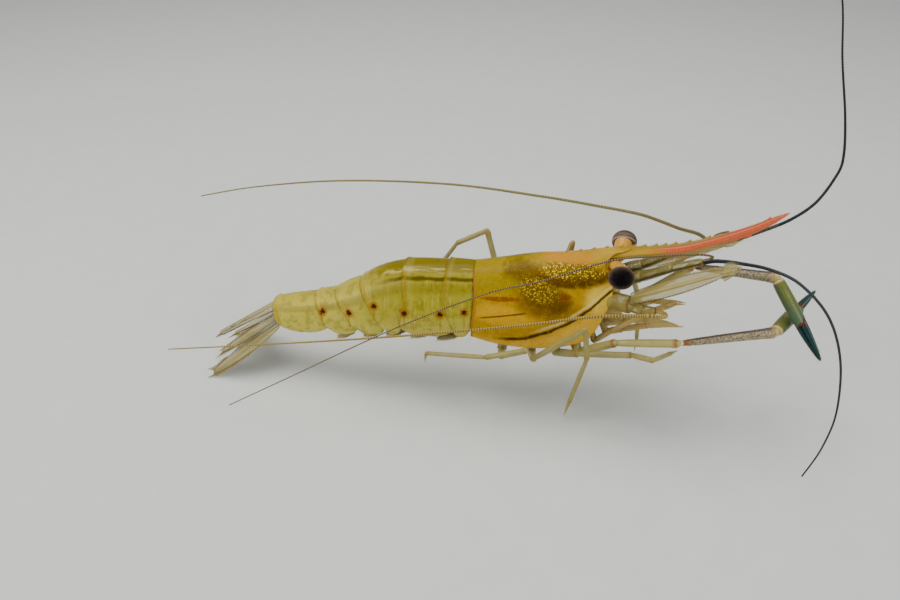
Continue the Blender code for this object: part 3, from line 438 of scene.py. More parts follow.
def abdomen_material():
    shell = Recipe("abdomen_shell", roughness=0.28, coat=0.02, soft=0.05, specular=0.06)
    place = shell.body_place()
    x, z = place[0], place[2]
    across, along = shell.sheet_place()[:2]
    wobble = shell.noise(2.4)
    cloud = shell.noise(0.9, detail=5.0)
    fine = shell.noise(0.35, detail=5.0)
    from_crest = shell.math("ABSOLUTE", shell.math("SUBTRACT", across, 0.5))
    colour = shell.mix(cloud, rgb(0.26, 0.225, 0.009), rgb(0.43, 0.375, 0.034))
    back = shell.mask(from_crest, 0.17, 0.06)
    colour = lay(shell, colour, back, 0.9, rgb(0.145, 0.108, 0.0005))
    # Painted highlight on the glassy band under the crest. It is partly the clear shell's own paler colour,
    # and it is broken into streaks like glints on wet shell.
    glassy_highlight = band(shell, from_crest, 0.065, 0.105, 0.02)
    runs = shell.streaks(260.0, 1800.0, 1800.0)
    glassy_highlight = shell.math("MULTIPLY", glassy_highlight, shell.mask(runs, 0.44, 0.58))
    glassy_highlight = shell.math("MULTIPLY", glassy_highlight, shell.mask(x, -42.0, -36.0))
    colour = lay(shell, colour, glassy_highlight, 0.6, rgb(0.60, 0.52, 0.18))
    low = shell.mask(from_crest, 0.32, 0.46)
    colour = lay(shell, colour, low, 0.7, rgb(0.55, 0.47, 0.085))
    colour = lay(shell, colour, shell.mask(x, -36.0, -45.0), 0.5, rgb(0.62, 0.54, 0.095))
    mottle = shell.noise(1.6, detail=6.0, rough=0.65)
    colour = lay(shell, colour, shell.mask(mottle, 0.50, 0.40), 0.40, rgb(0.15, 0.115, 0.002))
    fibres = shell.streaks(4200.0, 700.0, 260.0)
    bundles = shell.mask(fibres, 0.52, 0.66)
    bundles = shell.math("MULTIPLY", bundles, band(shell, from_crest, 0.15, 0.44, 0.04))
    colour = lay(shell, colour, bundles, 0.4, rgb(0.54, 0.45, 0.07))
    sway = shell.math("MULTIPLY_ADD", wobble, 0.03, -0.015)
    gut = shell.math("SUBTRACT", shell.math("ADD", from_crest, sway), 0.150)
    gut = shell.mask(shell.math("ABSOLUTE", gut), 0.022, 0.005)
    gut = shell.math("MULTIPLY", gut, shell.mask(x, -41.0, -34.0))
    colour = lay(shell, colour, gut, 0.85, rgb(0.050, 0.030, 0.001))
    under_gut = band(shell, from_crest, 0.175, 0.24, 0.02)
    colour = lay(shell, colour, under_gut, 0.45, rgb(0.15, 0.11, 0.003))
    pale = band(shell, along, 0.80, 0.94, 0.03)
    colour = lay(shell, colour, pale, 0.10, rgb(0.60, 0.50, 0.12))
    warm = band(shell, along, 0.90, 0.965, 0.015)
    warm = shell.math("MULTIPLY", warm, band(shell, from_crest, 0.10, 0.36, 0.05))
    colour = lay(shell, colour, warm, 0.55, rgb(0.30, 0.19, 0.003))
    rim = shell.mask(along, 0.965, 0.985)
    colour = lay(shell, colour, rim, 0.6, rgb(0.20, 0.11, 0.004))
    for hinge in HINGES:
        ragged = round_distance(shell, x, z, hinge, fine)
        colour = lay(shell, colour, shell.mask(ragged, 1.10, 0.10), 0.8, rgb(0.30, 0.085, 0.002))
        colour = lay(shell, colour, shell.mask(ragged, 0.30, 0.06), 0.97, rgb(0.025, 0.006, 0.002))
        seam = shell.math("SUBTRACT", x, shell.math("MULTIPLY_ADD", wobble, 0.5, hinge[0] - 0.25))
        below = band(shell, z, hinge[1] - 3.0, hinge[1] - 0.4, 0.3)
        seam = shell.math("MULTIPLY", line_mask(shell, seam, 0.20), below)
        colour = lay(shell, colour, seam, 0.45, rgb(0.26, 0.12, 0.003))
    spot_here = round_distance(shell, x, z, BACK_SPOT, fine)
    colour = lay(shell, colour, shell.mask(spot_here, 0.22, 0.02), 0.9, rgb(0.12, 0.012, 0.010))
    dots = shell.math("MAXIMUM", shell.freckles(0.85, 0.065), shell.freckles(0.5, 0.035))
    colour = lay(shell, colour, dots, 0.65, rgb(0.16, 0.06, 0.010))
    shell.paint(colour)
    shell.bump(shell.math("MULTIPLY", fine, 0.6), 0.06)
    shell.gloss(wobble, 0.14, 0.30)
    return shell.material


ABDOMEN_SHELL = abdomen_material()
print("made", ABDOMEN_SHELL.name)

# %% [markdown]
# The rostrum is amber at its root, like the shell behind it, and coral red along its blade,
# with a paler saw edge. The red follows the blade's length, so it is mixed by the place along
# the body; the map tells the ridge from the edges.

# %% Rostrum colour


def rostrum_material():
    blade = Recipe("rostrum_shell", roughness=0.3, coat=0.15, soft=0.08)
    x = blade.body_place()[0]
    across = blade.sheet_place()[0]
    wobble = blade.noise(1.3)
    fine = blade.noise(0.35)
    colour = blade.mix(wobble, rgb(0.38, 0.22, 0.010), rgb(0.52, 0.34, 0.035))
    start = blade.math("MULTIPLY_ADD", wobble, 3.0, x)
    red = blade.mask(start, 5.0, 10.5)
    edge = blade.math("ABSOLUTE", blade.math("SUBTRACT", across, 0.5))
    grow = blade.between(blade.mask(x, 13.0, 21.0), 0.0, 0.25)
    ridge = blade.math("SUBTRACT", blade.math("ABSOLUTE", blade.math("SUBTRACT", edge, 0.315)), grow)
    ridge = blade.mask(ridge, 0.085, 0.05)
    coral = blade.mix(fine, rgb(0.52, 0.070, 0.022), rgb(0.72, 0.150, 0.065))
    colour = blade.mix(blade.math("MULTIPLY", red, ridge), colour, coral)
    rim = blade.math("SUBTRACT", 1.0, ridge)
    colour = lay(blade, colour, blade.math("MULTIPLY", rim, red), 0.75, rgb(0.40, 0.25, 0.075))
    shine = blade.mask(blade.math("ABSOLUTE", blade.math("SUBTRACT", edge, 0.345)), 0.016, 0.004)
    colour = lay(blade, colour, blade.math("MULTIPLY", shine, red), 0.55, rgb(0.88, 0.44, 0.24))
    colour = lay(blade, colour, blade.freckles(0.5, 0.08), 0.55, rgb(0.17, 0.03, 0.012))
    saw_edge = blade.math("MULTIPLY", blade.mask(edge, 0.455, 0.485), blade.mask(x, 15.0, 9.0))
    colour = lay(blade, colour, saw_edge, 0.75, rgb(0.13, 0.055, 0.006))
    blade.paint(colour)
    blade.bump(fine, 0.04)
    clear_edge = blade.math("MULTIPLY", blade.mask(edge, 0.20, 0.12), blade.math("MULTIPLY", rim, red))
    blade.clear(blade.between(clear_edge, 1.0, 0.55))
    return blade.material


ROSTRUM_SHELL = rostrum_material()
print("made", ROSTRUM_SHELL.name)

# %% [markdown]
# Legs, arms and feelers share one idea: their colour runs along their length. Each piece keeps
# a map whose second value is the place along it, so a joint can be tinted or a ring drawn.
# Two functions with a few numbers make all of them, which keeps the limbs alike.

# %% Limb and feeler colours


def limb_material(name, base, light, joint, dots, solid=1.0, joint_share=0.8, core=0.0):
    """Shell of a limb: solid is how much it hides, core how dark the nerve line in it is."""
    limb = Recipe(name, roughness=0.32, coat=0.15, soft=0.08)
    across, along = limb.sheet_place()[:2]
    wobble = limb.noise(1.3)
    fine = limb.noise(0.3)
    colour = limb.mix(wobble, base, light)
    near_end = limb.math("MAXIMUM", limb.mask(along, 0.07, 0.01), limb.mask(along, 0.90, 0.97))
    colour = lay(limb, colour, near_end, joint_share, joint)
    specks = limb.math("MAXIMUM", limb.freckles(0.45, 0.06), limb.freckles(0.28, 0.03))
    colour = lay(limb, colour, specks, 0.75, dots)
    if core:
        nerve = limb.math("MULTIPLY_ADD", wobble, 0.10, limb.math("PINGPONG", across, 0.25))
        nerve = limb.mask(nerve, 0.15, 0.07)
        colour = lay(limb, colour, nerve, core, rgb(0.055, 0.040, 0.004))
        near_end = limb.math("MAXIMUM", near_end, nerve)
    limb.paint(colour)
    limb.bump(fine, 0.03)
    if solid < 1:
        limb.clear(limb.between(near_end, solid, 1.0))
    return limb.material


def feeler_material(name, base, ring, spacing, ring_width, ring_share, plain_start=0.0):
    """Rings along a feeler; the map's second value is its length in millimetres."""
    feeler = Recipe(name, roughness=0.4, coat=0.1)
    along = feeler.sheet_place()[1]
    wobble = feeler.noise(3.0)
    turn = feeler.math("FRACT", feeler.math("DIVIDE", along, spacing))
    distance = feeler.math("ABSOLUTE", feeler.math("SUBTRACT", turn, 0.5))
    rings = feeler.mask(distance, ring_width * 0.65, ring_width * 0.35)
    rings = feeler.math("MULTIPLY", rings, feeler.mask(along, plain_start, plain_start + 2.5))
    colour = lay(feeler, base, feeler.math("MULTIPLY", wobble, 0.8), 0.3, ring)
    colour = lay(feeler, colour, rings, ring_share, ring)
    feeler.paint(colour)
    feeler.bump(rings, 0.02)
    return feeler.material


LEG_SHELL = limb_material("leg_shell", rgb(0.25, 0.215, 0.05), rgb(0.42, 0.36, 0.12),
                          rgb(0.27, 0.14, 0.02), rgb(0.14, 0.07, 0.02), solid=0.80, joint_share=0.6)
MOUTH_LIMB_SHELL = limb_material("mouth_limb_shell", rgb(0.42, 0.29, 0.06), rgb(0.55, 0.41, 0.13),
                                 rgb(0.34, 0.15, 0.03), rgb(0.17, 0.07, 0.015), solid=0.85)
ARM_SHELL = limb_material("arm_shell", rgb(0.36, 0.31, 0.085), rgb(0.52, 0.46, 0.16),
                          rgb(0.30, 0.105, 0.018), rgb(0.12, 0.06, 0.02))
STEM_DARK = limb_material("antennule_shell", rgb(0.19, 0.155, 0.03), rgb(0.31, 0.26, 0.065),
                          rgb(0.20, 0.12, 0.02), rgb(0.035, 0.025, 0.008),
                          solid=0.5, joint_share=0.4, core=0.9)
STEM_CLEAR = limb_material("antenna_shell", rgb(0.30, 0.23, 0.035), rgb(0.44, 0.35, 0.09),
                           rgb(0.15, 0.060, 0.008), rgb(0.09, 0.045, 0.008),
                           solid=0.6, joint_share=0.80, core=0.35)
FEELER_DARK = feeler_material("dark_feeler", rgb(0.016, 0.026, 0.030), rgb(0.003, 0.005, 0.007),
                              0.38, 0.4, 0.9)
FEELER_BANDED = feeler_material("banded_feeler", rgb(0.42, 0.29, 0.06), rgb(0.050, 0.027, 0.005),
                                0.42, 0.4, 0.85, plain_start=3.0)
FEELER_OLIVE = feeler_material("olive_feeler", rgb(0.30, 0.25, 0.08), rgb(0.045, 0.034, 0.012),
                               0.40, 0.4, 0.85)
FEELER_DOTTED = feeler_material("dotted_feeler", rgb(0.28, 0.20, 0.07), rgb(0.016, 0.012, 0.006),
                                0.36, 0.55, 0.95)
print("limb and feeler materials made")

# %% [markdown]
# The claws have the strongest colours: a long mottled grey wrist with a purple upper edge, an
# olive palm and blue-green fingers with a red-brown patch where they begin. Their markings
# have little in common, so each has a recipe of its own.

# %% Claw colours


def wrist_material():
    wrist = Recipe("wrist_shell", roughness=0.42, coat=0.1, soft=0.05)
    across, along = wrist.sheet_place()[:2]
    mottle = wrist.noise(0.26, detail=4.0)
    colour = wrist.mix(wrist.mask(mottle, 0.40, 0.60), rgb(0.150, 0.120, 0.072), rgb(0.40, 0.34, 0.21))
    top = wrist.mask(wrist.math("PINGPONG", across, 0.5), 0.10, 0.05)
    colour = lay(wrist, colour, top, 0.85, rgb(0.050, 0.022, 0.032))
    colour = lay(wrist, colour, wrist.mask(along, 0.17, 0.08), 0.85, rgb(0.21, 0.085, 0.010))
    colour = lay(wrist, colour, band(wrist, along, 0.015, 0.045, 0.010), 0.95, rgb(0.82, 0.74, 0.62))
    colour = lay(wrist, colour, wrist.mask(along, 0.94, 0.99), 0.7, rgb(0.46, 0.24, 0.12))
    wrist.paint(colour)
    wrist.bump(wrist.freckles(0.33, 0.12), 0.07)
    return wrist.material


def palm_material():
    palm = Recipe("palm_shell", roughness=0.36, coat=0.15, soft=0.03)
    across, along = palm.sheet_place()[:2]
    wobble = palm.noise(1.1)
    fine = palm.noise(0.3)
    colour = palm.mix(wobble, rgb(0.085, 0.105, 0.018), rgb(0.155, 0.170, 0.036))
    edges = palm.mask(palm.math("PINGPONG", across, 0.25), 0.11, 0.02)
    colour = lay(palm, colour, edges, 0.6, rgb(0.020, 0.065, 0.045))
    colour = lay(palm, colour, palm.mask(along, 0.35, 0.9), 0.55, rgb(0.040, 0.105, 0.070))
    colour = lay(palm, colour, palm.mask(along, 0.07, 0.03), 0.9, rgb(0.52, 0.37, 0.17))
    patch_here = palm.mask(palm.math("MULTIPLY_ADD", wobble, 0.12, along), 0.985, 1.03)
    colour = lay(palm, colour, patch_here, 0.9, rgb(0.085, 0.022, 0.008))
    colour = lay(palm, colour, palm.freckles(0.5, 0.07), 0.5, rgb(0.02, 0.03, 0.015))
    palm.paint(colour)
    palm.bump(palm.math("ADD", palm.freckles(0.4, 0.12), fine), 0.05)
    return palm.material


def finger_material():
    finger = Recipe("finger_shell", roughness=0.3, coat=0.2)
    across, along = finger.sheet_place()[:2]
    wobble = finger.noise(0.9)
    colour = finger.mix(wobble, rgb(0.002, 0.014, 0.016), rgb(0.004, 0.050, 0.046))
    begin = finger.mask(finger.math("MULTIPLY_ADD", wobble, 0.12, along), 0.27, 0.19)
    colour = finger.mix(begin, colour, rgb(0.085, 0.022, 0.008))
    inner = finger.mask(finger.math("ABSOLUTE", finger.math("SUBTRACT", across, 0.5)), 0.06, 0.02)
    colour = lay(finger, colour, inner, 0.6, rgb(0.22, 0.19, 0.09))
    colour = lay(finger, colour, finger.mask(along, 0.94, 0.99), 0.7, rgb(0.32, 0.19, 0.08))
    finger.paint(colour)
    finger.bump(finger.noise(0.25), 0.04)
    return finger.material


WRIST_SHELL = wrist_material()
PALM_SHELL = palm_material()
FINGER_SHELL = finger_material()
print("claw materials made")

# %% [markdown]
# Antenna scales and tail blades are thin and clear. Their edges and ribs look more solid than
# their middle, because there is more shell to look through, and a row of dark dots follows the
# rim. The hairs along them are clear too, and the stubs on a scale are dark. Alpha does this: a
# low value shows what is behind. Refraction would be slower and hardly show in so thin a piece.

# %% Blade and hair colours


def blade_material():
    blade = Recipe("clear_blade", roughness=0.28, coat=0.2)
    across, along = blade.sheet_place()[:2]
    edge = blade.math("ABSOLUTE", blade.math("SUBTRACT", blade.math("PINGPONG", across, 0.5), 0.25))
    wobble = blade.noise(1.4)
    colour = blade.mix(wobble, rgb(0.33, 0.28, 0.07), rgb(0.46, 0.40, 0.14))
    rim = blade.mask(edge, 0.165, 0.21)
    colour = lay(blade, colour, rim, 0.85, rgb(0.24, 0.14, 0.012))
    rib = blade.mask(edge, 0.030, 0.008)
    colour = lay(blade, colour, rib, 0.6, rgb(0.34, 0.24, 0.06))
    turn = blade.math("FRACT", blade.math("MULTIPLY", along, 26.0))
    beads = blade.mask(blade.math("ABSOLUTE", blade.math("SUBTRACT", turn, 0.5)), 0.25, 0.15)
    beads = blade.math("MULTIPLY", beads, blade.mask(edge, 0.18, 0.20))
    specks = blade.math("MAXIMUM", blade.freckles(0.5, 0.075), beads)
    colour = lay(blade, colour, specks, 0.85, rgb(0.045, 0.024, 0.008))
    blade.paint(colour)
    veins = blade.node("ShaderNodeTexWave", {"Vector": blade.sheet, "Scale": 16.0, "Distortion": 0.5})
    blade.bump(veins.outputs["Fac"], 0.05)
    solid = blade.math("MAXIMUM", blade.math("MAXIMUM", rim, rib), specks)
    blade.clear(blade.between(solid, 0.50, 1.0))
    return blade.material


def hair_material(name, dark, light, thin, thick):
    """Thin and thick are how much the clearest and the most solid hairs hide."""
    hair = Recipe(name, roughness=0.4)
    tint = hair.noise(2.0)
    hair.paint(hair.mix(tint, dark, light))
    hair.clear(hair.between(tint, thin, thick))
    return hair.material


BLADE_CLEAR = blade_material()
HAIR_CLEAR = hair_material("clear_hair", rgb(0.28, 0.20, 0.05), rgb(0.46, 0.37, 0.15), 0.40, 0.70)
STUB_DARK = hair_material("dark_stub", rgb(0.020, 0.011, 0.003), rgb(0.055, 0.030, 0.008), 0.92, 1.0)
print("blade and hair materials made")

# %% [markdown]
# An eye looks black in the middle, where its tiny tubes are seen end on. Round it the surface
# is grey-brown and fuzzy, then a thin pale rim follows, and the back of the globe is mottled.
# The globe's map counts from its back to its front, and the colours follow that count.

# %% Eye colours
FACET = 0.10                   # width of one facet


def eye_material():
    eye = Recipe("cornea", roughness=0.5, specular=0.06)
    along = eye.sheet_place()[1]
    fuzz = eye.noise(0.16, detail=6.0, rough=0.8)
    cloud = eye.noise(0.5)
    place = eye.math("ADD", along, eye.math("MULTIPLY_ADD", eye.mask(fuzz, 0.36, 0.64), 0.16, -0.08))
    mottle = eye.mix(eye.mask(fuzz, 0.40, 0.62), rgb(0.030, 0.014, 0.007), rgb(0.20, 0.115, 0.060))
    ring = eye.mix(eye.mask(fuzz, 0.42, 0.60), rgb(0.060, 0.036, 0.026), rgb(0.19, 0.135, 0.105))
    colour = eye.mix(eye.mask(along, 0.45, 0.50), mottle, ring)
    colour = lay(eye, colour, eye.mask(place, 0.58, 0.68), 0.75, rgb(0.040, 0.024, 0.016))
    colour = eye.mix(eye.mask(place, 0.69, 0.75), colour, rgb(0.0015, 0.0010, 0.0010))
    pale = band(eye, along, 0.405, 0.445, 0.012)
    colour = lay(eye, colour, pale, 0.7, rgb(0.42, 0.29, 0.22))
    flecks = eye.math("MULTIPLY", eye.mask(fuzz, 0.60, 0.70), eye.mask(along, 0.80, 0.62))
    colour = lay(eye, colour, flecks, 0.5, rgb(0.26, 0.21, 0.19))
    eye.paint(colour)
    facets = eye.node("ShaderNodeTexVoronoi", {"Vector": eye.here, "Scale": PER_METRE / FACET})
    eye.bump(eye.math("ADD", facets.outputs["Distance"], cloud), 0.015)
    return eye.material


def stalk_material():
    stalk = Recipe("eyestalk_skin", roughness=0.32, coat=0.15, soft=0.1)
    along = stalk.sheet_place()[1]
    wobble = stalk.noise(0.8)
    colour = stalk.mix(wobble, rgb(0.48, 0.20, 0.015), rgb(0.62, 0.36, 0.05))
    colour = lay(stalk, colour, stalk.mask(along, 0.86, 0.97), 0.8, rgb(0.50, 0.30, 0.18))
    colour = lay(stalk, colour, stalk.freckles(0.45, 0.09), 0.8, rgb(0.15, 0.03, 0.006))
    stalk.paint(colour)
    stalk.bump(wobble, 0.05)
    return stalk.material


CORNEA = eye_material()
STALK_SKIN = stalk_material()
print("eye materials made")

# %% [markdown]
# A prawn is made of sheets and tubes, and Blender's grid can be both. We add a grid, move
# each corner to its place on the form, and close the seam where a tube's two long edges meet.
# The grid brings a map with it, so every marking above follows the surface. Modelling each
# tube by extruding ring after ring would give the same mesh with many more steps.

# %% Shape helpers
WELD = 0.001 * MM              # corners nearer than this become one
STEEP = 0.92                   # a first tangent this upright needs another way up
HAIR_SIDES = 3
HAIR_SEED = 7


def hold(piece):
    """Selects one piece alone, for the tools that follow."""
    bpy.ops.object.select_all(action="DESELECT")
    piece.select_set(True)
    bpy.context.view_layer.objects.active = piece


def cover(piece, material):
    """Gives a piece this material and no other."""
    piece.data.materials.clear()
    piece.data.materials.append(material)


def grid_piece(name, columns, rows, place, closed=False):
    """A grid whose corners are moved to place(u, v): u runs across it and v along it."""
    bpy.ops.object.select_all(action="DESELECT")
    bpy.ops.mesh.primitive_grid_add(x_subdivisions=columns, y_subdivisions=rows, size=1, calc_uvs=True)
    piece = bpy.context.object
    piece.name = name
    piece.data.name = name
    for corner in piece.data.vertices:
        corner.co = spot(*place(corner.co.x + 0.5, corner.co.y + 0.5))
    if closed:
        bpy.ops.object.mode_set(mode="EDIT")
        bpy.ops.mesh.select_all(action="SELECT")
        bpy.ops.mesh.remove_doubles(threshold=WELD)
        bpy.ops.mesh.normals_make_consistent(inside=False)
        bpy.ops.object.mode_set(mode="OBJECT")
    bpy.ops.object.shade_smooth()
    return piece


def thicken(piece, thickness):
    """Gives an arched sheet its wall, inwards from its outer face."""
    hold(piece)
    crest = max(piece.data.polygons, key=lambda face: face.center.z)
    if crest.normal.z < 0:
        bpy.ops.object.mode_set(mode="EDIT")
        bpy.ops.mesh.select_all(action="SELECT")
        bpy.ops.mesh.flip_normals()
        bpy.ops.object.mode_set(mode="OBJECT")
    wall = piece.modifiers.new("Wall", "SOLIDIFY")
    wall.thickness = thickness * MM
    wall.offset = -1
    bpy.ops.object.modifier_apply(modifier=wall.name)
    return piece


def frames_along(tangents):
    """Directions across and up for each tangent, turned as little as possible."""
    up = Vector((0, 0, 1))
    if abs(tangents[0].normalized().dot(up)) > STEEP:
        up = Vector((0, 1, 0))
    frames = []
    for tangent in tangents:
        across = tangent.cross(up).normalized()
        up = across.cross(tangent).normalized()
        frames.append((across, up))
    return frames


def round_angle(u):
    """The angle at u on a closed section; the grid's last corners fall on its first ones."""
    return 2 * math.pi * (0 if u > 0.9999 else u)


def tube(name, points, radii, around):
    """A tube through points with a radius at each; a radius of 0 closes an end."""
    points = [Vector(point) for point in points]
    last = len(points) - 1
    tangents = [points[min(i + 1, last)] - points[max(i - 1, 0)] for i in range(last + 1)]
    frames = frames_along([tangent.normalized() for tangent in tangents])

    def place(u, v):
        index = round(v * last)
        across, upward = frames[index]
        angle = round_angle(u)
        return points[index] + radii[index] * (across * math.cos(angle) + upward * math.sin(angle))

    return grid_piece(name, around, last, place, closed=True)


def smooth_route(points, step):
    """Points about one step apart on a smooth curve through the given points."""
    knots = [Vector(point) for point in points]
    route = [knots[0]]
    for i in range(len(knots) - 1):
        before, start = knots[max(i - 1, 0)], knots[i]
        end, after = knots[i + 1], knots[min(i + 2, len(knots) - 1)]
        pieces = max(1, round((end - start).length / step))
        for k in range(1, pieces + 1):
            t = k / pieces
            route.append(0.5 * (2 * start + (end - before) * t
                                + (2 * before - 5 * start + 4 * end - after) * t ** 2
                                + (3 * start - before - 3 * end + after) * t ** 3))
    return route


def smooth_value(table, x):
    """The smooth values of a table's columns at place x; rows are in order of x."""
    x = min(max(x, table[0][0]), table[-1][0])
    index = max(i for i in range(len(table) - 1) if table[i][0] <= x)
    start, end = table[index], table[index + 1]
    before, after = table[max(index - 1, 0)], table[min(index + 2, len(table) - 1)]
    span = end[0] - start[0]
    t = (x - start[0]) / span
    values = []
    for column in range(1, len(start)):
        slope_in = (end[column] - before[column]) / (end[0] - before[0]) * span
        slope_out = (after[column] - start[column]) / (after[0] - start[0]) * span
        values.append((2 * t ** 3 - 3 * t ** 2 + 1) * start[column] + (t ** 3 - 2 * t ** 2 + t) * slope_in
                      + (3 * t ** 2 - 2 * t ** 3) * end[column] + (t ** 3 - t ** 2) * slope_out)
    return values


def join(name, pieces):
    """Makes several pieces one object, materials and all."""
    bpy.ops.object.select_all(action="DESELECT")
    for piece in pieces:
        piece.select_set(True)
    bpy.context.view_layer.objects.active = pieces[0]
    if len(pieces) > 1:
        bpy.ops.object.join()
    joined = bpy.context.view_layer.objects.active
    joined.name = name
    joined.data.name = name
    return joined


def dress(piece, material, slot, *nodes):
    """Gives a finished piece its material, its body and the solids that it stands for."""
    if material is not None:
        cover(piece, material)
    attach(piece, "root")
    if nodes:
        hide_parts(*nodes)
    print(piece.name, len(piece.data.polygons), "faces")


def hairs(name, roots, radius):
    """Fine hairs as thin three-sided spikes; roots holds (root, tip) pairs in millimetres."""
    corners, faces = [], []
    for root, tip in roots:
        root, tip = Vector(root), Vector(tip)
        run = (tip - root).normalized()
        across = run.orthogonal().normalized()
        upward = run.cross(across)
        first = len(corners)
        for k in range(HAIR_SIDES):
            angle = 2 * math.pi * k / HAIR_SIDES
            out = across * math.cos(angle) + upward * math.sin(angle)
            corners.append(spot(*(root + out * radius)))
        corners.append(spot(*tip))
        faces += [(first, first + 1, first + 3), (first + 1, first + 2, first + 3),
                  (first + 2, first, first + 3), (first + 2, first + 1, first)]
    mesh = bpy.data.meshes.new(name)
    mesh.from_pydata(corners, [], faces)
    piece = bpy.data.objects.new(name, mesh)
    bpy.context.scene.collection.objects.link(piece)
    return piece


random.seed(HAIR_SEED)
print("shape helpers ready")

# %% [markdown]
# Most limbs are chains of round lengths, and most lengths have the same form: a narrow root, a
# slow swelling and a flared collar at the end. So the form is modelled once, one unit long: a
# disc is extruded from ring to ring and each ring is scaled. A cylinder would need the same
# rings cut into it. Copies of the form are then tapered, stretched and turned into place.

# %% Round models
COLLAR = [
    (0.0, 0.42), (0.012, 0.62), (0.045, 0.78), (0.12, 0.87), (0.30, 0.95), (0.52, 1.0), (0.74, 1.0),
    (0.88, 1.01), (0.935, 1.07), (0.972, 1.09), (0.992, 0.98), (1.0, 0.72),
]
PLAIN = [
    (0.0, 0.50), (0.015, 0.74), (0.05, 0.88), (0.14, 0.97), (0.35, 1.0), (0.65, 1.0), (0.85, 1.0),
    (0.94, 0.97), (0.98, 0.86), (1.0, 0.60),
]
POINT = [
    (0.0, 0.70), (0.04, 0.95), (0.12, 1.0), (0.28, 0.92), (0.45, 0.78), (0.62, 0.60), (0.78, 0.40),
    (0.90, 0.22), (0.97, 0.10), (1.0, 0.03),
]
PALM = [
    (0.0, 0.56), (0.012, 0.74), (0.04, 0.88), (0.10, 0.96), (0.22, 1.0), (0.45, 1.03), (0.70, 1.02),
    (0.86, 0.99), (0.94, 0.92), (0.98, 0.82), (1.0, 0.66),
]
FINGER = [
    (0.0, 0.70), (0.03, 0.92), (0.10, 1.0), (0.22, 1.0), (0.36, 0.95), (0.50, 0.87), (0.64, 0.77),
    (0.76, 0.66), (0.86, 0.54), (0.93, 0.42), (0.975, 0.28), (1.0, 0.10),
]


def map_round(piece):
    """Gives a model along Z its map: the turn round it, then the place along it."""
    sheet = piece.data.uv_layers.active or piece.data.uv_layers.new(name="along")
    for face in piece.data.polygons:
        corners = [piece.data.vertices[i].co for i in face.vertices]
        turns = [math.atan2(corner.y, corner.x) / (2 * math.pi) % 1 for corner in corners]
        wraps = max(turns) - min(turns) > 0.5
        for loop, corner, turn in zip(face.loop_indices, corners, turns):
            sheet.data[loop].uv = (turn + 1 if wraps and turn < 0.5 else turn, corner.z)
    return piece


def round_model(name, profile, around=16, bow=0.0):
    """A closed round form along Z: a disc extruded through the (place, radius) profile."""
    bpy.ops.object.select_all(action="DESELECT")
    place, radius = profile[0]
    bpy.ops.mesh.primitive_circle_add(vertices=around, radius=radius, fill_type="TRIFAN")
    model = bpy.context.object
    model.name = name
    bpy.ops.object.mode_set(mode="EDIT")
    bpy.ops.mesh.select_all(action="SELECT")
    centre = 0.0
    for next_place, next_radius in profile[1:]:
        shift = bow * math.sin(math.pi * next_place) - centre
        step = (shift, 0, next_place - place)
        bpy.ops.mesh.extrude_region_move(TRANSFORM_OT_translate={"value": step})
        centre += shift
        grow = next_radius / radius
        bpy.ops.transform.resize(value=(grow, grow, 1), center_override=(centre, 0, next_place))
        place, radius = next_place, next_radius
    bpy.ops.mesh.select_all(action="SELECT")
    bpy.ops.mesh.normals_make_consistent(inside=False)
    bpy.ops.object.mode_set(mode="OBJECT")
    bpy.ops.object.shade_smooth()
    return map_round(model)


def ball_model(name, segments, rings):
    bpy.ops.object.select_all(action="DESELECT")
    bpy.ops.mesh.primitive_uv_sphere_add(segments=segments, ring_count=rings, radius=1)
    model = bpy.context.object
    model.name = name
    bpy.ops.object.shade_smooth()
    return model


COLLAR_MODEL = round_model("collar_model", COLLAR)
PLAIN_MODEL = round_model("plain_model", PLAIN, 20)
POINT_MODEL = round_model("point_model", POINT, 12, bow=0.35)
PALM_MODEL = round_model("palm_model", PALM, 28)
FINGER_MODEL = round_model("finger_model", FINGER, 20, bow=0.22)
BALL_MODEL = ball_model("ball_model", 16, 10)
MODELS = [COLLAR_MODEL, PLAIN_MODEL, POINT_MODEL, PALM_MODEL, FINGER_MODEL, BALL_MODEL]
print("models:", [len(model.data.polygons) for model in MODELS], "faces")

# %% [markdown]
# A copy is tapered with the Simple Deform modifier while it is still one unit long, and only
# then stretched between two joints. Each copy has a mesh of its own, because a shared mesh
# could not be tapered in two ways. At the end its place is written into its mesh, so that the
# object itself stands at the origin, as the solids do.

# %% Place a copy
NEARLY_ALONG = 0.95            # a bend this close to the run itself can't be used


def copy_of(model, name):
    """A copy of a model with a mesh of its own, ready for the next tool."""
    piece = model.copy()
    piece.data = model.data.copy()
    piece.name = name
    bpy.context.scene.collection.objects.link(piece)
    hold(piece)
    return piece


def between(model, start, end, first, last, thin=1.0, bend=(0, 0, 1), material=None):
    """A copy of a model from start to end, with radius first and last, in millimetres."""
    piece = copy_of(model, "length")
    taper = piece.modifiers.new("Taper", "SIMPLE_DEFORM")
    taper.deform_method = "TAPER"
    taper.deform_axis = "Z"
    taper.factor = last / first - 1
    bpy.ops.object.modifier_apply(modifier=taper.name)
    run = Vector(end) - Vector(start)
    forward = run.normalized()
    side = Vector(bend)
    if abs(forward.dot(side.normalized())) >= NEARLY_ALONG:
        side = Vector((0, 1, 0))
    side = (side - forward * side.dot(forward)).normalized()
    turn = Matrix((side, forward.cross(side), forward)).transposed().to_4x4()
    size = Matrix.Diagonal((first * MM, first * thin * MM, run.length * MM, 1))
    piece.matrix_world = Matrix.Translation(spot(*start)) @ turn @ size
    bpy.ops.object.transform_apply(location=True, rotation=True, scale=True)
    if material:
        cover(piece, material)
    return piece


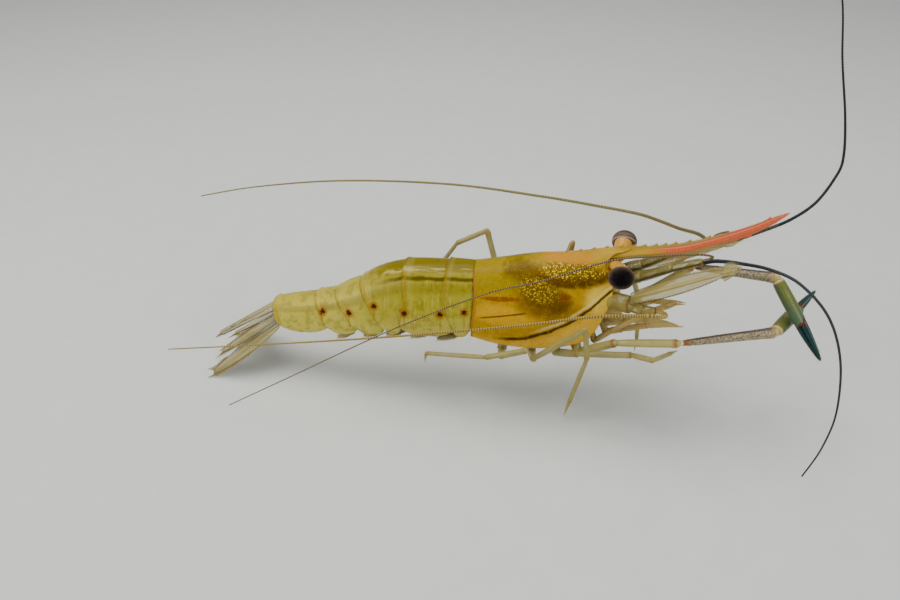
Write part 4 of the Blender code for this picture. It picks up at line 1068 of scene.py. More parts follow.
def ball(centre, size, axis=(0, 0, 1), model=BALL_MODEL, material=None):
    """A copy of the ball; size is its three radii, the last one along axis."""
    piece = copy_of(model, "ball")
    turn = Vector(axis).to_track_quat("Z", "Y").to_matrix().to_4x4()
    stretch = Matrix.Diagonal((*[radius * MM for radius in size], 1))
    piece.matrix_world = Matrix.Translation(spot(*centre)) @ turn @ stretch
    bpy.ops.object.transform_apply(location=True, rotation=True, scale=True)
    if material:
        cover(piece, material)
    return piece


def mirrored(points, side):
    """Places on the left half as places on the given side."""
    return [Vector((x, side * y, z)) for x, y, z in points]


print("copies can be placed")

# %% [markdown]
# The carapace is one sheet that runs from its right lower edge over the back to the left one.
# Its sections are arches, wider below, as in the solid. The front edge is cut by the round eye
# notch and carries the antennal spine; below that it slopes back to the corner of the cheek.
# A rounded block model would soften that edge; a grid that follows a formula keeps it crisp.

# %% Carapace
CARAPACE_STATIONS = [
    (-22.4, 22.9, 11.3, 5.30), (-18.5, 23.8, 10.7, 5.75), (-13.0, 25.1, 10.6, 6.00),
    (-8.5, 25.7, 11.2, 5.90), (-5.0, 26.4, 12.2, 5.50), (-2.6, 27.0, 13.6, 4.90), (-0.9, 27.4, 15.6, 4.10),
]
CARAPACE_GRID = (220, 110)
CARAPACE_WALL = 0.22
CARAPACE_REAR_RIM = -22.75
ARCH_REACH = math.radians(125)
ARCH_FULLNESS = 0.9            # below 1 a section bulges more than a circle


def bell(value, centre, width):
    """1 at the centre, falling smoothly to nothing within about two widths."""
    return math.exp(-((value - centre) / width) ** 2)


def carapace_front(turn):
    """Place of the front edge for a turn from the crest, 0, to the lower edge, 1."""
    notch = 1.25 * bell(turn, 0.27, 0.10)
    spine = 1.7 * max(0.0, 1 - abs(turn - 0.43) / 0.035)
    cheek = 0.7 * bell(turn, 0.62, 0.12)
    corner = 3.2 * max(0.0, (turn - 0.72) / 0.28) ** 1.8
    return -0.55 + 2.6 * bell(turn, 0.0, 0.075) - notch + spine + cheek * 0.4 - corner


def carapace_surface(x, turn, side):
    """A point of the carapace's outer face."""
    top, bottom, half_width = smooth_value(CARAPACE_STATIONS, x)
    angle = turn * ARCH_REACH
    share = (1 - math.cos(angle)) / (1 - math.cos(ARCH_REACH))
    z = top - (top - bottom) * share
    y = half_width * max(math.sin(angle), 0) ** ARCH_FULLNESS
    crest = 0.35 * bell(turn, 0.0, 0.035) * min(1.0, max(0.0, (x + 14) / 8))
    groove = 0.16 * bell(x + 0.5 * (z - 20), -7.4, 0.55) * bell(turn, 0.5, 0.24)
    branchia = 0.14 * bell(turn, 0.62, 0.10) * bell(x, -13.5, 7.0)
    gill_line = 0.10 * bell(z - (21.6 + x + 0.028 * x * x), 0, 0.30) * min(1.0, max(0.0, (-x - 0.5) / 1.5))
    swell = 1 + (branchia - groove - gill_line) / 5.5
    return Vector((x, side * y * swell, z + crest))


def make_carapace():
    def place(u, v):
        side = 1 if u > 0.5 else -1
        turn = abs(u - 0.5) * 2
        front = carapace_front(turn)
        rear = CARAPACE_REAR_RIM + 0.5 * bell(turn, 0.55, 0.25)
        x = rear + (front - rear) * (v ** 0.9)
        return carapace_surface(x, turn, side)

    return thicken(grid_piece("carapace_shell", *CARAPACE_GRID, place), CARAPACE_WALL)


dress(make_carapace(), CARAPACE_SHELL, "shell", "carapace")

# %% [markdown]
# The rostrum starts as a crest on the carapace and rises as a long blade in front of the eyes.
# It is a tube again, but a tall narrow one: each section is a lens with a ridge along its
# side. The saw teeth are drawn into the upper and lower edge, so no tooth has a seam.

# %% Rostrum
ROSTRUM_STATIONS = [
    (-9.6, 25.55, 24.6), (-6.0, 26.55, 25.2), (-0.55, 27.75, 25.5), (1.6, 28.05, 25.8), (5.3, 28.5, 26.4),
    (9.9, 29.5, 26.9), (14.7, 31.2, 29.1), (18.8, 33.0, 31.3), (22.4, 34.9, 33.7), (24.6, 36.0, 35.7),
]
UPPER_TEETH = [-8.0, -5.8, -3.7, -1.7, 0.7, 2.5, 4.1, 5.8, 7.2, 8.7, 10.8, 13.6, 21.9]
LOWER_TEETH = [6.6, 8.4, 10.2, 12.0, 13.8, 15.6, 17.5, 19.5]
TOOTH_HEIGHT = 0.42
TOOTH_LENGTH = 1.1
TOOTH_END = 1.12               # where a tooth has dropped again, in tooth lengths
ROSTRUM_GRID = (28, 420)


def saw(x, teeth):
    """Height of the saw edge: each tooth rises slowly forwards and drops behind its tip."""
    height = 0.0
    for tip in teeth:
        share = (x - (tip - TOOTH_LENGTH)) / TOOTH_LENGTH
        if 0 <= share <= 1:
            height = max(height, TOOTH_HEIGHT * share ** 1.4)
        elif 1 < share < TOOTH_END:
            height = max(height, TOOTH_HEIGHT * (TOOTH_END - share) / (TOOTH_END - 1))
    return height


def make_rostrum():
    first, last = ROSTRUM_STATIONS[0][0], ROSTRUM_STATIONS[-1][0]

    def place(u, v):
        x = first + (last - first) * v
        top, bottom = smooth_value(ROSTRUM_STATIONS, x)
        share = max(0.0, min(1.0, (x + 1) / (last + 1)))
        ridge_width = 0.80 * (1 - share) + 0.13 * share + 0.7 * bell(x, -4.0, 5.0)
        edge_width = 0.13 * (1 - 0.5 * share)
        close = min(1.0, v * 26, (1 - v) * 90)
        middle = bottom + (top - bottom) * 0.44
        angle = round_angle(u)
        up = math.cos(angle)
        out = math.sin(angle)
        z = middle + (top - middle) * up if up > 0 else middle + (middle - bottom) * up
        ridge = bell(up, 0.0, 0.38)
        y = out * (edge_width + (ridge_width - edge_width) * ridge) * close
        lean = max(0.0, (abs(up) - 0.72) / 0.28)
        if up > 0:
            z += saw(x, UPPER_TEETH) * lean
        else:
            z -= saw(x, LOWER_TEETH) * 0.9 * lean
        z = middle + (z - middle) * close
        return (x, y, z)

    return grid_piece("rostrum_blade", *ROSTRUM_GRID, place, closed=True)


dress(make_rostrum(), ROSTRUM_SHELL, "rostrum", "rostrum")

# %% [markdown]
# Between the teeth stand short stiff hairs. They are set in a loop along both saw edges, more
# of them below, where the real prawn has a fringe. A hair system could grow them as well, but
# plain spikes keep their places and can be exported as they are.

# %% Rostrum hairs
ROSTRUM_HAIRS = 150
HAIRS_START = -1.0
HAIRS_LENGTH = 24.0


def make_rostrum_hairs():
    roots = []
    for k in range(ROSTRUM_HAIRS):
        x = HAIRS_START + HAIRS_LENGTH * k / ROSTRUM_HAIRS
        top, bottom = smooth_value(ROSTRUM_STATIONS, x)
        lift = 0.75 + 0.35 * random.random()
        lean = 0.55 + 0.3 * random.random()
        if saw(x, UPPER_TEETH) < TOOTH_HEIGHT * 0.5 and k % 2:
            roots.append(((x, 0, top), (x + lean, random.uniform(-0.12, 0.12), top + lift * 0.7)))
        if x > 3.5 and saw(x, LOWER_TEETH) < TOOTH_HEIGHT * 0.55:
            roots.append(((x, 0, bottom), (x + lean, random.uniform(-0.15, 0.15), bottom - lift)))
    return hairs("rostrum_hairs", roots, 0.028)


dress(make_rostrum_hairs(), HAIR_CLEAR, "rostrum")

# %% [markdown]
# The abdomen has six plates that slide under one another like roof tiles. One function makes
# them all from the same joints as the solids. Each plate starts inside the one in front of it
# and ends in a rim that stands proud; the second plate's side flaps also cover the first's.
# One long sheet with grooves would be simpler, but it would have no edges that overlap.

# %% Abdomen plates
ABDOMEN_JOINTS = [
    (-22.85, 22.75, -22.85, 11.3, 5.25, 0.0), (-27.2, 22.5, -27.6, 10.8, 5.35, 2.0),
    (-34.5, 21.8, -32.8, 10.4, 5.25, -1.6), (-42.1, 18.1, -36.8, 9.8, 4.85, -0.5),
    (-46.6, 15.5, -41.6, 8.9, 4.30, -0.5), (-50.2, 14.3, -47.0, 8.3, 3.75, -0.5),
    (-57.8, 12.3, -56.3, 7.4, 3.00, 0.0),
]
PLATE_ARCH = [0.1, 0.15, 0.60, 0.30, 0.15, 0.25]
PLATES = len(PLATE_ARCH)
PLATE_TUCK = 0.16              # share of a plate that lies under the one in front
FIRST_TUCK = 0.25              # the same for the first plate, under the carapace
PLATE_END = 1.02               # each plate ends a little past its rear joint
PLATE_RIM = 0.22
PLATE_GRID = (150, 44)
PLATE_WALL = 0.24


def plate_surface(number, along, turn, side):
    """A point of an abdomen plate: along runs from its front joint, 0, to its rear joint, 1."""
    front, rear = ABDOMEN_JOINTS[number - 1], ABDOMEN_JOINTS[number]
    mix = [a + (b - a) * along for a, b in zip(front, rear)]
    direction = Vector((front[0] - rear[0], 0, front[1] - rear[1])).normalized()
    bulge = PLATE_ARCH[number - 1] * 4 * max(along, 0) * (1 - along)
    rim = PLATE_RIM * max(along, 0) ** 1.5 - (0.45 * -along / PLATE_TUCK if along < 0 else 0)
    rim += 0.12 * bell(along, 0.97, 0.03)
    angle = turn * ARCH_REACH
    share = (1 - math.cos(angle)) / (1 - math.cos(ARCH_REACH))
    lower = min(max((share - 0.4) / 0.6, 0), 1)
    lower = lower * lower * (3 - 2 * lower)
    round_off = 1.15 * abs(2 * min(max(along, 0), 1) - 1) ** 2.6
    flap = 0.35 * bell(turn, 0.80, 0.13) * (1 if number == 2 else 0.35)
    back = Vector((mix[0] - direction.z * bulge, 0, mix[1] + rim + direction.x * bulge))
    belly = Vector((mix[2], 0, mix[3] + round_off))
    point = back.lerp(belly, share)
    point.x += mix[5] * lower
    point.y = side * (mix[4] + rim + flap) * max(math.sin(angle), 0) ** ARCH_FULLNESS
    return point


def make_plate(number):
    start = -PLATE_TUCK if number > 1 else -FIRST_TUCK

    def place(u, v):
        along = start + (PLATE_END - start) * v
        return plate_surface(number, along, abs(u - 0.5) * 2, 1 if u > 0.5 else -1)

    return thicken(grid_piece("abdomen_plate_%d" % number, *PLATE_GRID, place), PLATE_WALL)


for number in range(1, PLATES + 1):
    dress(make_plate(number), ABDOMEN_SHELL, "abdomen", "abdomen_%d" % number)

# %% [markdown]
# Inside the shell lies the muscle. It shows only in the gaps between plates and from below,
# so one plain, soft tube fills the body from the head to the tail. The underside of the thorax
# is part of it, and its surface is gathered in bars between the leg roots.

# %% Inner body


def flesh_material():
    flesh = Recipe("muscle", roughness=0.45, soft=0.1)
    wobble = flesh.noise(1.5)
    colour = flesh.mix(wobble, rgb(0.36, 0.28, 0.07), rgb(0.48, 0.38, 0.14))
    flesh.paint(colour)
    flesh.bump(flesh.noise(0.6), 0.08)
    return flesh.material


MUSCLE = flesh_material()
STERNUM_STATIONS = [(-21.9, 11.7), (-12.0, 11.2), (-6.0, 12.0), (-3.0, 13.7), (-1.0, 15.8)]
CHEST_GRID = (48, 150)
CHEST_START = -0.9
CHEST_LENGTH = 21.6
BAR_SPACING = 4.2              # from one pair of leg roots to the next
TAIL_GRID = (36, 160)
MUSCLE_SHARE = 0.84            # height of the tail's muscle as a share of the plates' height


def make_inner_body():
    def place(u, v):
        x = CHEST_START - CHEST_LENGTH * v
        top, _, half_width = smooth_value(CARAPACE_STATIONS, x)
        floor_line = smooth_value(STERNUM_STATIONS, x)[0]
        angle = round_angle(u)
        close = min(1.0, v * 40, (1 - v) * 40)
        middle = (top + floor_line) / 2
        height = (top - floor_line) / 2 - 0.2
        bars = 0.22 * math.cos(2 * math.pi * x / BAR_SPACING) * max(0.0, -math.cos(angle)) ** 2
        y = math.sin(angle) * (half_width - 0.75) * close
        z = middle + math.cos(angle) * (height + bars) * close
        return (x, y, max(z, floor_line - 0.1))

    chest = grid_piece("chest", *CHEST_GRID, place, closed=True)

    def tail_place(u, v):
        position = v * PLATES * 0.9999
        number = int(position) + 1
        along = position - number + 1
        angle = round_angle(u)
        crest = plate_surface(number, along, 0.0, 1)
        side = plate_surface(number, along, 0.62, 1)
        floor_line = plate_surface(number, along, 0.86, 1)
        middle = crest.lerp(floor_line, 0.52)
        close = min(1.0, v * 60, (1 - v) * 60)
        y = math.sin(angle) * (side.y - 1.15) * close
        run = (crest - floor_line) / 2
        run.y = 0
        reach = MUSCLE_SHARE * math.cos(angle) * close
        return (middle.x + run.x * reach, y, middle.z + run.z * reach)

    tail = grid_piece("tail_muscle", *TAIL_GRID, tail_place, closed=True)
    return join("inner_body", [chest, tail])


dress(make_inner_body(), MUSCLE, "shell", "sternum")

# %% [markdown]
# The tail, the antenna scales and the swimmerets are made of thin blades with a raised rib.
# A sheet with a Solidify wall would be as thick at its rim as at its rib. So a blade is a tube
# again, pressed flat and closed around its edge: thick at the rib and thin at the rim. The
# helper also tells where the rim runs, because hairs will stand on it.

# %% Blade helper
BLADE_AROUND = 48


def blade(name, length, half_width, thick, outline, root, pitch, yaw, roll=0.0, rib=0.3,
          rows=60, bow=0.0):
    """A flat blade with a midrib; outline(share) gives its width along its length."""
    level = math.cos(pitch)
    forward = Vector((level * math.cos(yaw), level * math.sin(yaw), math.sin(pitch)))
    across = Vector((-math.sin(yaw), math.cos(yaw), 0))
    upward = forward.cross(across)
    turned = across * math.cos(roll) + upward * math.sin(roll)
    normal = forward.cross(turned)
    if normal.z < 0:
        normal = -normal
    root = Vector(root)

    def place(u, v):
        angle = round_angle(u)
        width = half_width * outline(v)
        close = min(1.0, (1 - v) * 25, v * 25 + 0.3)
        side = math.cos(angle)
        lift = math.sin(angle) * thick * (1 - side * side * 0.75) * close
        ridge = rib * (1 - 0.8 * v) * bell(side, 0.0, 0.14)
        lift += ridge * (1 if math.sin(angle) > 0 else -0.3) * close
        curve = -bow * side * side * width
        return root + forward * (length * v) + turned * (width * side) + normal * (lift + curve)

    piece = grid_piece(name, BLADE_AROUND, rows, place, closed=True)

    def edge(share, side, out=0.0):
        """A point on the blade's rim, or beyond it by out."""
        width = half_width * outline(share) + out
        return root + forward * (length * share) + turned * (width * side) - normal * bow * width

    return piece, edge


def lift_above_floor(piece):
    """Lays the lowest corners of a piece on the floor."""
    for corner in piece.data.vertices:
        corner.co.z = max(corner.co.z, 0.0)
    return piece


print("blade helper ready")

# %% [markdown]
# The tail fan has a narrow telson in the middle and two blades on each side. They stand where
# the solids' blades are, as thick at the rib, and slope down to the floor. Small spines stand
# on the telson, and a loop sets the fringe of hairs, with a little chance in their length.

# %% Tail fan
TAIL_PITCH = math.radians(35.5)
UROPODS = [
    # name, length, half width, turn outwards, root on the left side
    ("exopod", 15.0, 2.5, math.radians(23), (-56.8, 2.05, 8.7)),
    ("endopod", 13.4, 1.8, math.radians(10), (-57.0, 1.3, 9.9)),
]
UROPOD_THICKNESS = 0.22
FRINGE_HAIRS = 170             # on each rim of a blade
FRINGE_START = 0.35
BARE_EDGE = 0.75               # the outer blade's outer rim has no hairs before this share


def paddle(share):
    """Width of a tail blade: narrow at its root, round at its end."""
    return max(math.sin(math.pi * min(0.16 + 0.80 * share ** 0.82, 1)) ** 0.75, 0.05)


def telson_outline(share):
    """Width of the telson, which narrows to its end."""
    return (1 - share) * (1 - 0.25 * share) + 0.29 * share


telson, telson_edge = blade("telson_blade", 14.2, 1.75, 0.5, telson_outline, (-57.3, 0, 11.4),
                            -TAIL_PITCH * 0.93, math.pi, rib=0.35, bow=0.18)
spines = []
for share, side in ((0.52, 0.45), (0.74, 0.5)):
    for sign in (-1, 1):
        foot = telson_edge(share, sign * side) + Vector((0, 0, 0.45))
        spines.append(between(POINT_MODEL, foot, foot + Vector((-1.1, 0, -0.5)), 0.11, 0.1))
for sign in (-1, 0, 1):
    foot = telson_edge(0.98, sign * 0.8)
    spines.append(between(POINT_MODEL, foot, foot + Vector((-1.2, sign * 0.2, -0.9)), 0.14, 0.12))
dress(join("telson", [telson] + spines), BLADE_CLEAR, "fan", "telson")

fringe = []
for side_name, side in SIDES.items():
    for label, length, width, yaw, root in UROPODS:
        name = "uropod_%s_%s_blade" % (label, side_name)
        root = mirrored([root], side)[0]
        piece, edge = blade(name, length, width, UROPOD_THICKNESS, paddle, root,
                            -TAIL_PITCH, math.pi - side * yaw, rib=0.2)
        lift_above_floor(piece)
        dress(piece, BLADE_CLEAR, "fan", "uropod_%s_%s" % (label, side_name))
        for k in range(FRINGE_HAIRS):
            share = FRINGE_START + 0.64 * (k / FRINGE_HAIRS) ** 0.8
            for edge_side in (-1, 1):
                if edge_side == side and share < BARE_EDGE and label == "exopod":
                    continue
                spread = 0.25 + 0.55 * share
                foot = edge(min(share, 0.985), edge_side, -0.08)
                tip = edge(min(share + 0.05, 1.0), edge_side, spread + 0.35 * random.random())
                tip += (edge(1.0, 0) - edge(0.9, 0)) * (0.5 + 0.4 * share)
                tip.z = max(tip.z, 0.05)
                fringe.append((foot, tip))
dress(hairs("tail_fringe", fringe, 0.03), HAIR_CLEAR, "fan")

# %% [markdown]
# Each eye is a globe on a short stalk. The globe is a sphere, a little flatter than it is wide.
# Its pole points outwards and up, because the black centre lies there, and its map runs from
# pole to pole, so the rings of the colour lie round that centre. The stalk comes from the head
# and enters the globe from behind; it is a tube, because it widens on a curve.

# %% Eyes
EYE_CENTRE = (0.75, 6.33, 25.74)
EYE_SIZE = (2.05, 1.80, 1.86)
GAZE = (0.05, 0.90, 0.42)
STALK_ROOT = (-1.8, 0.9, 25.0)
STALK_MIDDLE = (0.1, 2.3, 25.2)
STALK_DEPTH = 1.05             # how far from the globe's centre the stalk ends
EYE_MODEL = ball_model("eye_model", 64, 40)
MODELS.append(EYE_MODEL)
for side_name, side in SIDES.items():
    centre, gaze, root, middle = mirrored([EYE_CENTRE, GAZE, STALK_ROOT, STALK_MIDDLE], side)
    globe = ball(centre, EYE_SIZE, gaze.normalized(), EYE_MODEL)
    globe.name = "eye_globe_" + side_name
    dress(globe, CORNEA, "eye", "eye_" + side_name)
    outward = Vector((0.12, side, 0.06)).normalized()
    foot = centre - outward * STALK_DEPTH
    route = smooth_route([root, middle, foot], 0.2)
    widths = [0.95 + 0.55 * (k / (len(route) - 1)) ** 1.6 for k in range(len(route))]
    widths[-1] = 1.25
    stalk = tube("eyestalk_skin_" + side_name, route + [route[-1]], widths + [0], around=32)
    dress(stalk, STALK_SKIN, "shell", "eyestalk_" + side_name)

# %% [markdown]
# The walking legs have six lengths. The last is a small curved claw that comes to a point. A
# soft ball of joint skin sits in each collar, and rows of tiny spines stand under the long
# fifth length, as on the real leg. A Skin modifier on a chain of edges would be quicker, but
# it gives no collars.

# %% Walking legs
LEG_RADII = [0.95, 0.78, 0.56, 0.50, 0.44, 0.34, 0.26]
BALL_SHARE = 0.84              # size of a joint's soft ball beside its collar
SHIN_SPINES = 9
SPINE_SIZE = 0.30
LEG_CLAW = (0.31, 0.16)        # radius at its root and at its end
LEG_JOINTS = {
    ("leg_3", "right"): [
        (-9.0, -2.4, 0), (-8.7, -3.4, 9.3), (-5.0, -6.7, 11.5), (3.5, -8.3, 13.3),
        (6.6, -12.3, 15.3), (9.4, -7.6, 13.9), (10.7, -5.5, 13.3)],
    ("leg_4", "right"): [
        (-12.9, -2.4, 0), (-12.7, -3.6, 9.0), (-11.9, -7.5, 10.3), (-3.9, -9.9, 18.1),
        (-3.4, -9.3, 12.3), (-5.7, -8.7, 3.2), (-6.5, -8.6, 0)],
    ("leg_5", "right"): [
        (-17.3, -2.4, 0), (-17.6, -3.6, 9.0), (-17.2, -6.8, 9.7), (-12.9, -11.0, 13.9),
        (-19.3, -10.1, 11.3), (-29.7, -6.8, 8.7), (-30.0, -6.6, 6.6)],
    ("leg_3", "left"): [
        (-9.0, 2.4, 0), (-8.7, 3.6, 9.1), (-6.0, 7.4, 10.1), (2.6, 11.6, 17.0),
        (4.4, 12.7, 11.2), (4.6, 13.3, 3.2), (4.3, 13.4, 0)],
    ("leg_4", "left"): [
        (-12.9, 2.4, 0), (-12.9, 3.7, 9.0), (-12.4, 7.7, 10.4), (-7.8, 11.0, 22.4),
        (-8.6, 12.8, 15.6), (-9.4, 13.8, 3.6), (-9.6, 13.9, 0)],
    ("leg_5", "left"): [
        (-17.3, 2.4, 0), (-17.7, 3.7, 9.0), (-18.4, 7.5, 10.8), (-22.5, 10.5, 23.6),
        (-27.9, 11.5, 20.2), (-34.0, 13.0, 10.6), (-35.2, 13.3, 7.6)],
}


def limb_root(x, y):
    """Where a limb leaves the underside of the thorax."""
    return Vector((x, y, smooth_value(STERNUM_STATIONS, x)[0] + 0.25))


def limb_places(joints):
    """A limb's joints, the first one raised to the underside of the thorax."""
    return [limb_root(*joints[0][:2])] + [Vector(joint) for joint in joints[1:]]


def spine_row(start, end, side, count, size):
    """Roots and tips of small spikes along the lower edge of a limb's length."""
    run = (end - start).normalized()
    roots = []
    for k in range(count):
        foot = start.lerp(end, (k + 0.8) / (count + 0.8)) + side * size * 0.55
        roots.append((foot, foot + side * size + run * size * 1.3))
    return roots


def make_leg(joints, material):
    places = limb_places(joints)
    pieces = []
    for start, end, first, last in zip(places[:5], places[1:6], LEG_RADII, LEG_RADII[1:]):
        pieces.append(between(COLLAR_MODEL, start, end, first, last, material=material))
        pieces.append(ball(end, [last * BALL_SHARE] * 3, material=material))
    shin = (places[5] - places[4]).normalized()
    claw = (places[6] - places[5]).normalized()
    inward = (claw - shin * claw.dot(shin)).normalized()
    pieces.append(between(POINT_MODEL, places[5], places[6], *LEG_CLAW, bend=-inward,
                          material=material))
    spikes = hairs("spikes", spine_row(places[4], places[5], inward, SHIN_SPINES, SPINE_SIZE), 0.045)
    cover(spikes, material)
    return lift_above_floor(join("leg", pieces + [spikes]))


for (label, side_name), joints in LEG_JOINTS.items():
    leg = make_leg(joints, LEG_SHELL)
    leg.name = "%s_%s_shell" % (label, side_name)
    dress(leg, None, "limb", "%s_%s" % (label, side_name))

# %% [markdown]
# The first legs and the last mouth limbs reach forwards under the head. The first legs end in
# a small pair of fingers with a brush of hair; the mouth limbs are blunt and bristly. Between
# them the head is closed by the lips and the small inner mouth limbs, here a few soft lumps,
# because nothing more of them can be seen.

# %% First legs and mouth limbs
SMALL_LIMBS = {
    ("leg_1", "right"): [
        (-3.4, -1.9, 0), (-2.6, -2.7, 11.8), (0.2, -3.4, 14.6), (5.4, -3.4, 18.5), (10.3, -3.6, 21.0)],
    ("leg_1", "left"): [
        (-3.4, 1.9, 0), (-2.6, 2.8, 11.8), (0.6, 3.9, 14.0), (6.2, 3.6, 16.6), (11.6, 2.4, 17.4)],
    ("maxilliped_3", "right"): [
        (-1.9, -0.95, 0), (-0.9, -1.3, 12.9), (1.6, -1.8, 14.0), (5.6, -2.3, 15.4), (11.3, -2.6, 15.9)],
    ("maxilliped_3", "left"): [
        (-1.9, 0.95, 0), (-0.9, 1.3, 12.9), (1.6, 1.6, 13.6), (5.3, 1.5, 14.2), (10.6, 1.2, 13.9)],
}
SMALL_RADII = {"leg_1": [0.62, 0.52, 0.46, 0.44], "maxilliped_3": [0.62, 0.58, 0.58, 0.50]}
SMALL_PALM = (0.46, 0.52)      # radius at the root and at the end
SMALL_FINGER = (0.27, 0.22)    # the same
MOUTH_LIMB_END = (0.52, 0.50)  # the same


def bristles(start, end, count, length, spread=1.0, forward=0.6, inset=0.12):
    """Hairs all round a length of limb, leaning forwards."""
    run = (end - start).normalized()
    across = run.orthogonal().normalized()
    upward = run.cross(across)
    roots = []
    for _ in range(count):
        angle = random.uniform(0, 2 * math.pi)
        out = across * math.cos(angle) + upward * math.sin(angle)
        foot = start.lerp(end, random.random()) + out * inset
        size = length * random.uniform(0.7, 1.2)
        roots.append((foot, foot + out * size * spread + run * size * forward))
    return roots


def make_small_limb(label, joints, material):
    places = limb_places(joints)
    radii = SMALL_RADII[label]
    pieces = []
    for i in range(3):
        pieces.append(between(COLLAR_MODEL, places[i], places[i + 1], radii[i], radii[i + 1]))
        pieces.append(ball(places[i + 1], [radii[i + 1] * BALL_SHARE] * 3))
    start, end = places[3], places[4]
    if label == "leg_1":
        palm_end = start.lerp(end, 0.55)
        pieces.append(between(PALM_MODEL, start, palm_end, *SMALL_PALM, thin=0.8))
        upward = (end - start).cross(Vector((0, 1, 0))).normalized()
        for sign in (-1, 1):
            foot = start.lerp(end, 0.47) + upward * (0.24 * sign)
            point = end + upward * (0.10 * sign)
            pieces.append(between(POINT_MODEL, foot, point, *SMALL_FINGER, bend=upward * sign))
        roots = bristles(palm_end, end, 18, 0.20, 0.6, 1.1, 0.2)
    else:
        pieces.append(between(POINT_MODEL, start, end, *MOUTH_LIMB_END, thin=0.7))
        roots = bristles(start, end, 40, 0.24, 0.6, 1.1, 0.25)
        roots += bristles(places[2], start, 20, 0.22, inset=0.35)
    pieces.append(hairs("brush", roots, 0.02))
    for piece in pieces:
        cover(piece, material)
    return join("small_limb", pieces)


for (label, side_name), joints in SMALL_LIMBS.items():
    limb = make_small_limb(label, joints, MOUTH_LIMB_SHELL)
    limb.name = "%s_%s_shell" % (label, side_name)
    dress(limb, None, "limb", "%s_%s" % (label, side_name))

MOUTH_LUMPS = [
    # centre, radii
    ((-0.9, 0.0, 17.6), (1.5, 1.9, 2.2)),
    ((-0.2, 1.5, 16.4), (1.2, 0.9, 1.7)),
    ((-0.2, -1.5, 16.4), (1.2, 0.9, 1.7)),
    ((0.6, 0.0, 15.3), (1.2, 0.8, 0.8)),
    ((-0.6, 2.5, 18.4), (1.5, 1.1, 1.5)),
    ((-0.6, -2.5, 18.4), (1.5, 1.1, 1.5)),
]
lumps = [ball(centre, size) for centre, size in MOUTH_LUMPS]
dress(join("mouth", lumps), MOUTH_LIMB_SHELL, "limb")

# %% [markdown]
# The second legs are the long arms that carry the claws. They are made like the other legs,
# with a wrist as long as the claw. The wrist is rough with fine points, and a white ring and
# an orange collar mark the elbow. A bump alone would roughen the wrist's face, but only real
# points roughen its outline.

# %% Long arms
ARM_JOINTS = {
    "right": [(-6.0, -2.3, 0), (-5.1, -3.7, 9.9), (0.8, -6.3, 14.0), (10.3, -7.9, 16.0), (24.8, -4.3, 17.5)],
    "left": [(-6.0, 2.3, 0), (-5.1, 3.7, 9.9), (2.4, 6.4, 14.5), (12.0, 5.8, 22.5), (24.2, -0.3, 24.9)],
}
ARM_RADII = [0.95, 0.8, 0.64, 0.66, 0.86]
WRIST_START = 0.56
WRIST_POINTS = 420


def make_arm(joints):
    places = limb_places(joints)
    pieces = []
    for i, (start, end) in enumerate(zip(places, places[1:])):
        first = ARM_RADII[i] if i < 3 else WRIST_START
        material = WRIST_SHELL if i == 3 else ARM_SHELL
        pieces.append(between(COLLAR_MODEL, start, end, first, ARM_RADII[i + 1], material=material))
        pieces.append(ball(end, [ARM_RADII[i + 1] * BALL_SHARE] * 3, material=ARM_SHELL))
    elbow, hand = places[3], places[4]
    run = hand - elbow
    across = run.orthogonal().normalized()
    upward = run.normalized().cross(across)
    points = []
    for _ in range(WRIST_POINTS):
        share = random.uniform(0.08, 0.92)
        angle = random.uniform(0, 2 * math.pi)
        out = across * math.cos(angle) + upward * math.sin(angle)
        radius = WRIST_START + (ARM_RADII[4] - WRIST_START) * share
        foot = elbow + run * share + out * radius * 0.92
        points.append((foot, foot + out * 0.14 + run.normalized() * 0.10))
    rough = hairs("wrist_points", points, 0.04)
    cover(rough, WRIST_SHELL)
    return join("arm", pieces + [rough])


for side_name in SIDES:
    arm = make_arm(ARM_JOINTS[side_name])
    arm.name = "arm_%s_shell" % side_name
    dress(arm, None, "limb", "arm_" + side_name)

# %% [markdown]
# A claw is a palm and two fingers. The lower finger is part of the palm and the upper one
# moves on the real animal; here both are closed, as in the photograph. Each finger bows
# outwards and hooks in at its tip, and short down covers both. One bowed model serves for the
# two of them, turned over for the second.

# %% Claws
CLAW_TIP = {"right": (32.3, 8.9, 18.3), "left": (32.0, -5.8, 14.1)}
PALM_SHARE = 0.57
CLAW_RADIUS = 1.14
FINGER_RADIUS = 0.56
FINGER_SINK = 1.1              # how deep a finger starts inside the palm
DOWN_HAIRS = 160


def make_claw(side_name):
    wrist_end = Vector(ARM_JOINTS[side_name][-1])
    tip = Vector(CLAW_TIP[side_name])
    forward = (tip - wrist_end).normalized()
    across, upward = frames_along([forward])[0]
    palm_end = wrist_end.lerp(tip, PALM_SHARE)
    start = wrist_end + forward * 0.35
    pieces = [between(PALM_MODEL, start, palm_end, CLAW_RADIUS, CLAW_RADIUS, 0.86, across, PALM_SHELL)]
    for sign in (-1, 1):
        foot = palm_end - forward * FINGER_SINK + upward * (sign * 0.50)
        end = tip + upward * (sign * 0.10)
        pieces.append(between(FINGER_MODEL, foot, end, FINGER_RADIUS, FINGER_RADIUS * 0.8, 0.92,
                              upward * sign, FINGER_SHELL))
    down = hairs("finger_down", bristles(palm_end, tip, DOWN_HAIRS, 0.16, 0.9, 1.0, 0.62), 0.018)
    cover(down, FINGER_SHELL)
    return join("claw", pieces + [down])


for side_name in SIDES:
    claw = make_claw(side_name)
    claw.name = "claw_%s_shell" % side_name
    dress(claw, None, "claw", "claw_" + side_name)

# %% [markdown]
# Each antennule has a stout stem of three lengths, flat above and with a thorn at its outer
# corner. Two feelers grow from its end: a long dark outer one and a pale inner one. The lengths
# are copies of the plain model, pressed flat, and start inside one another so no gap opens.

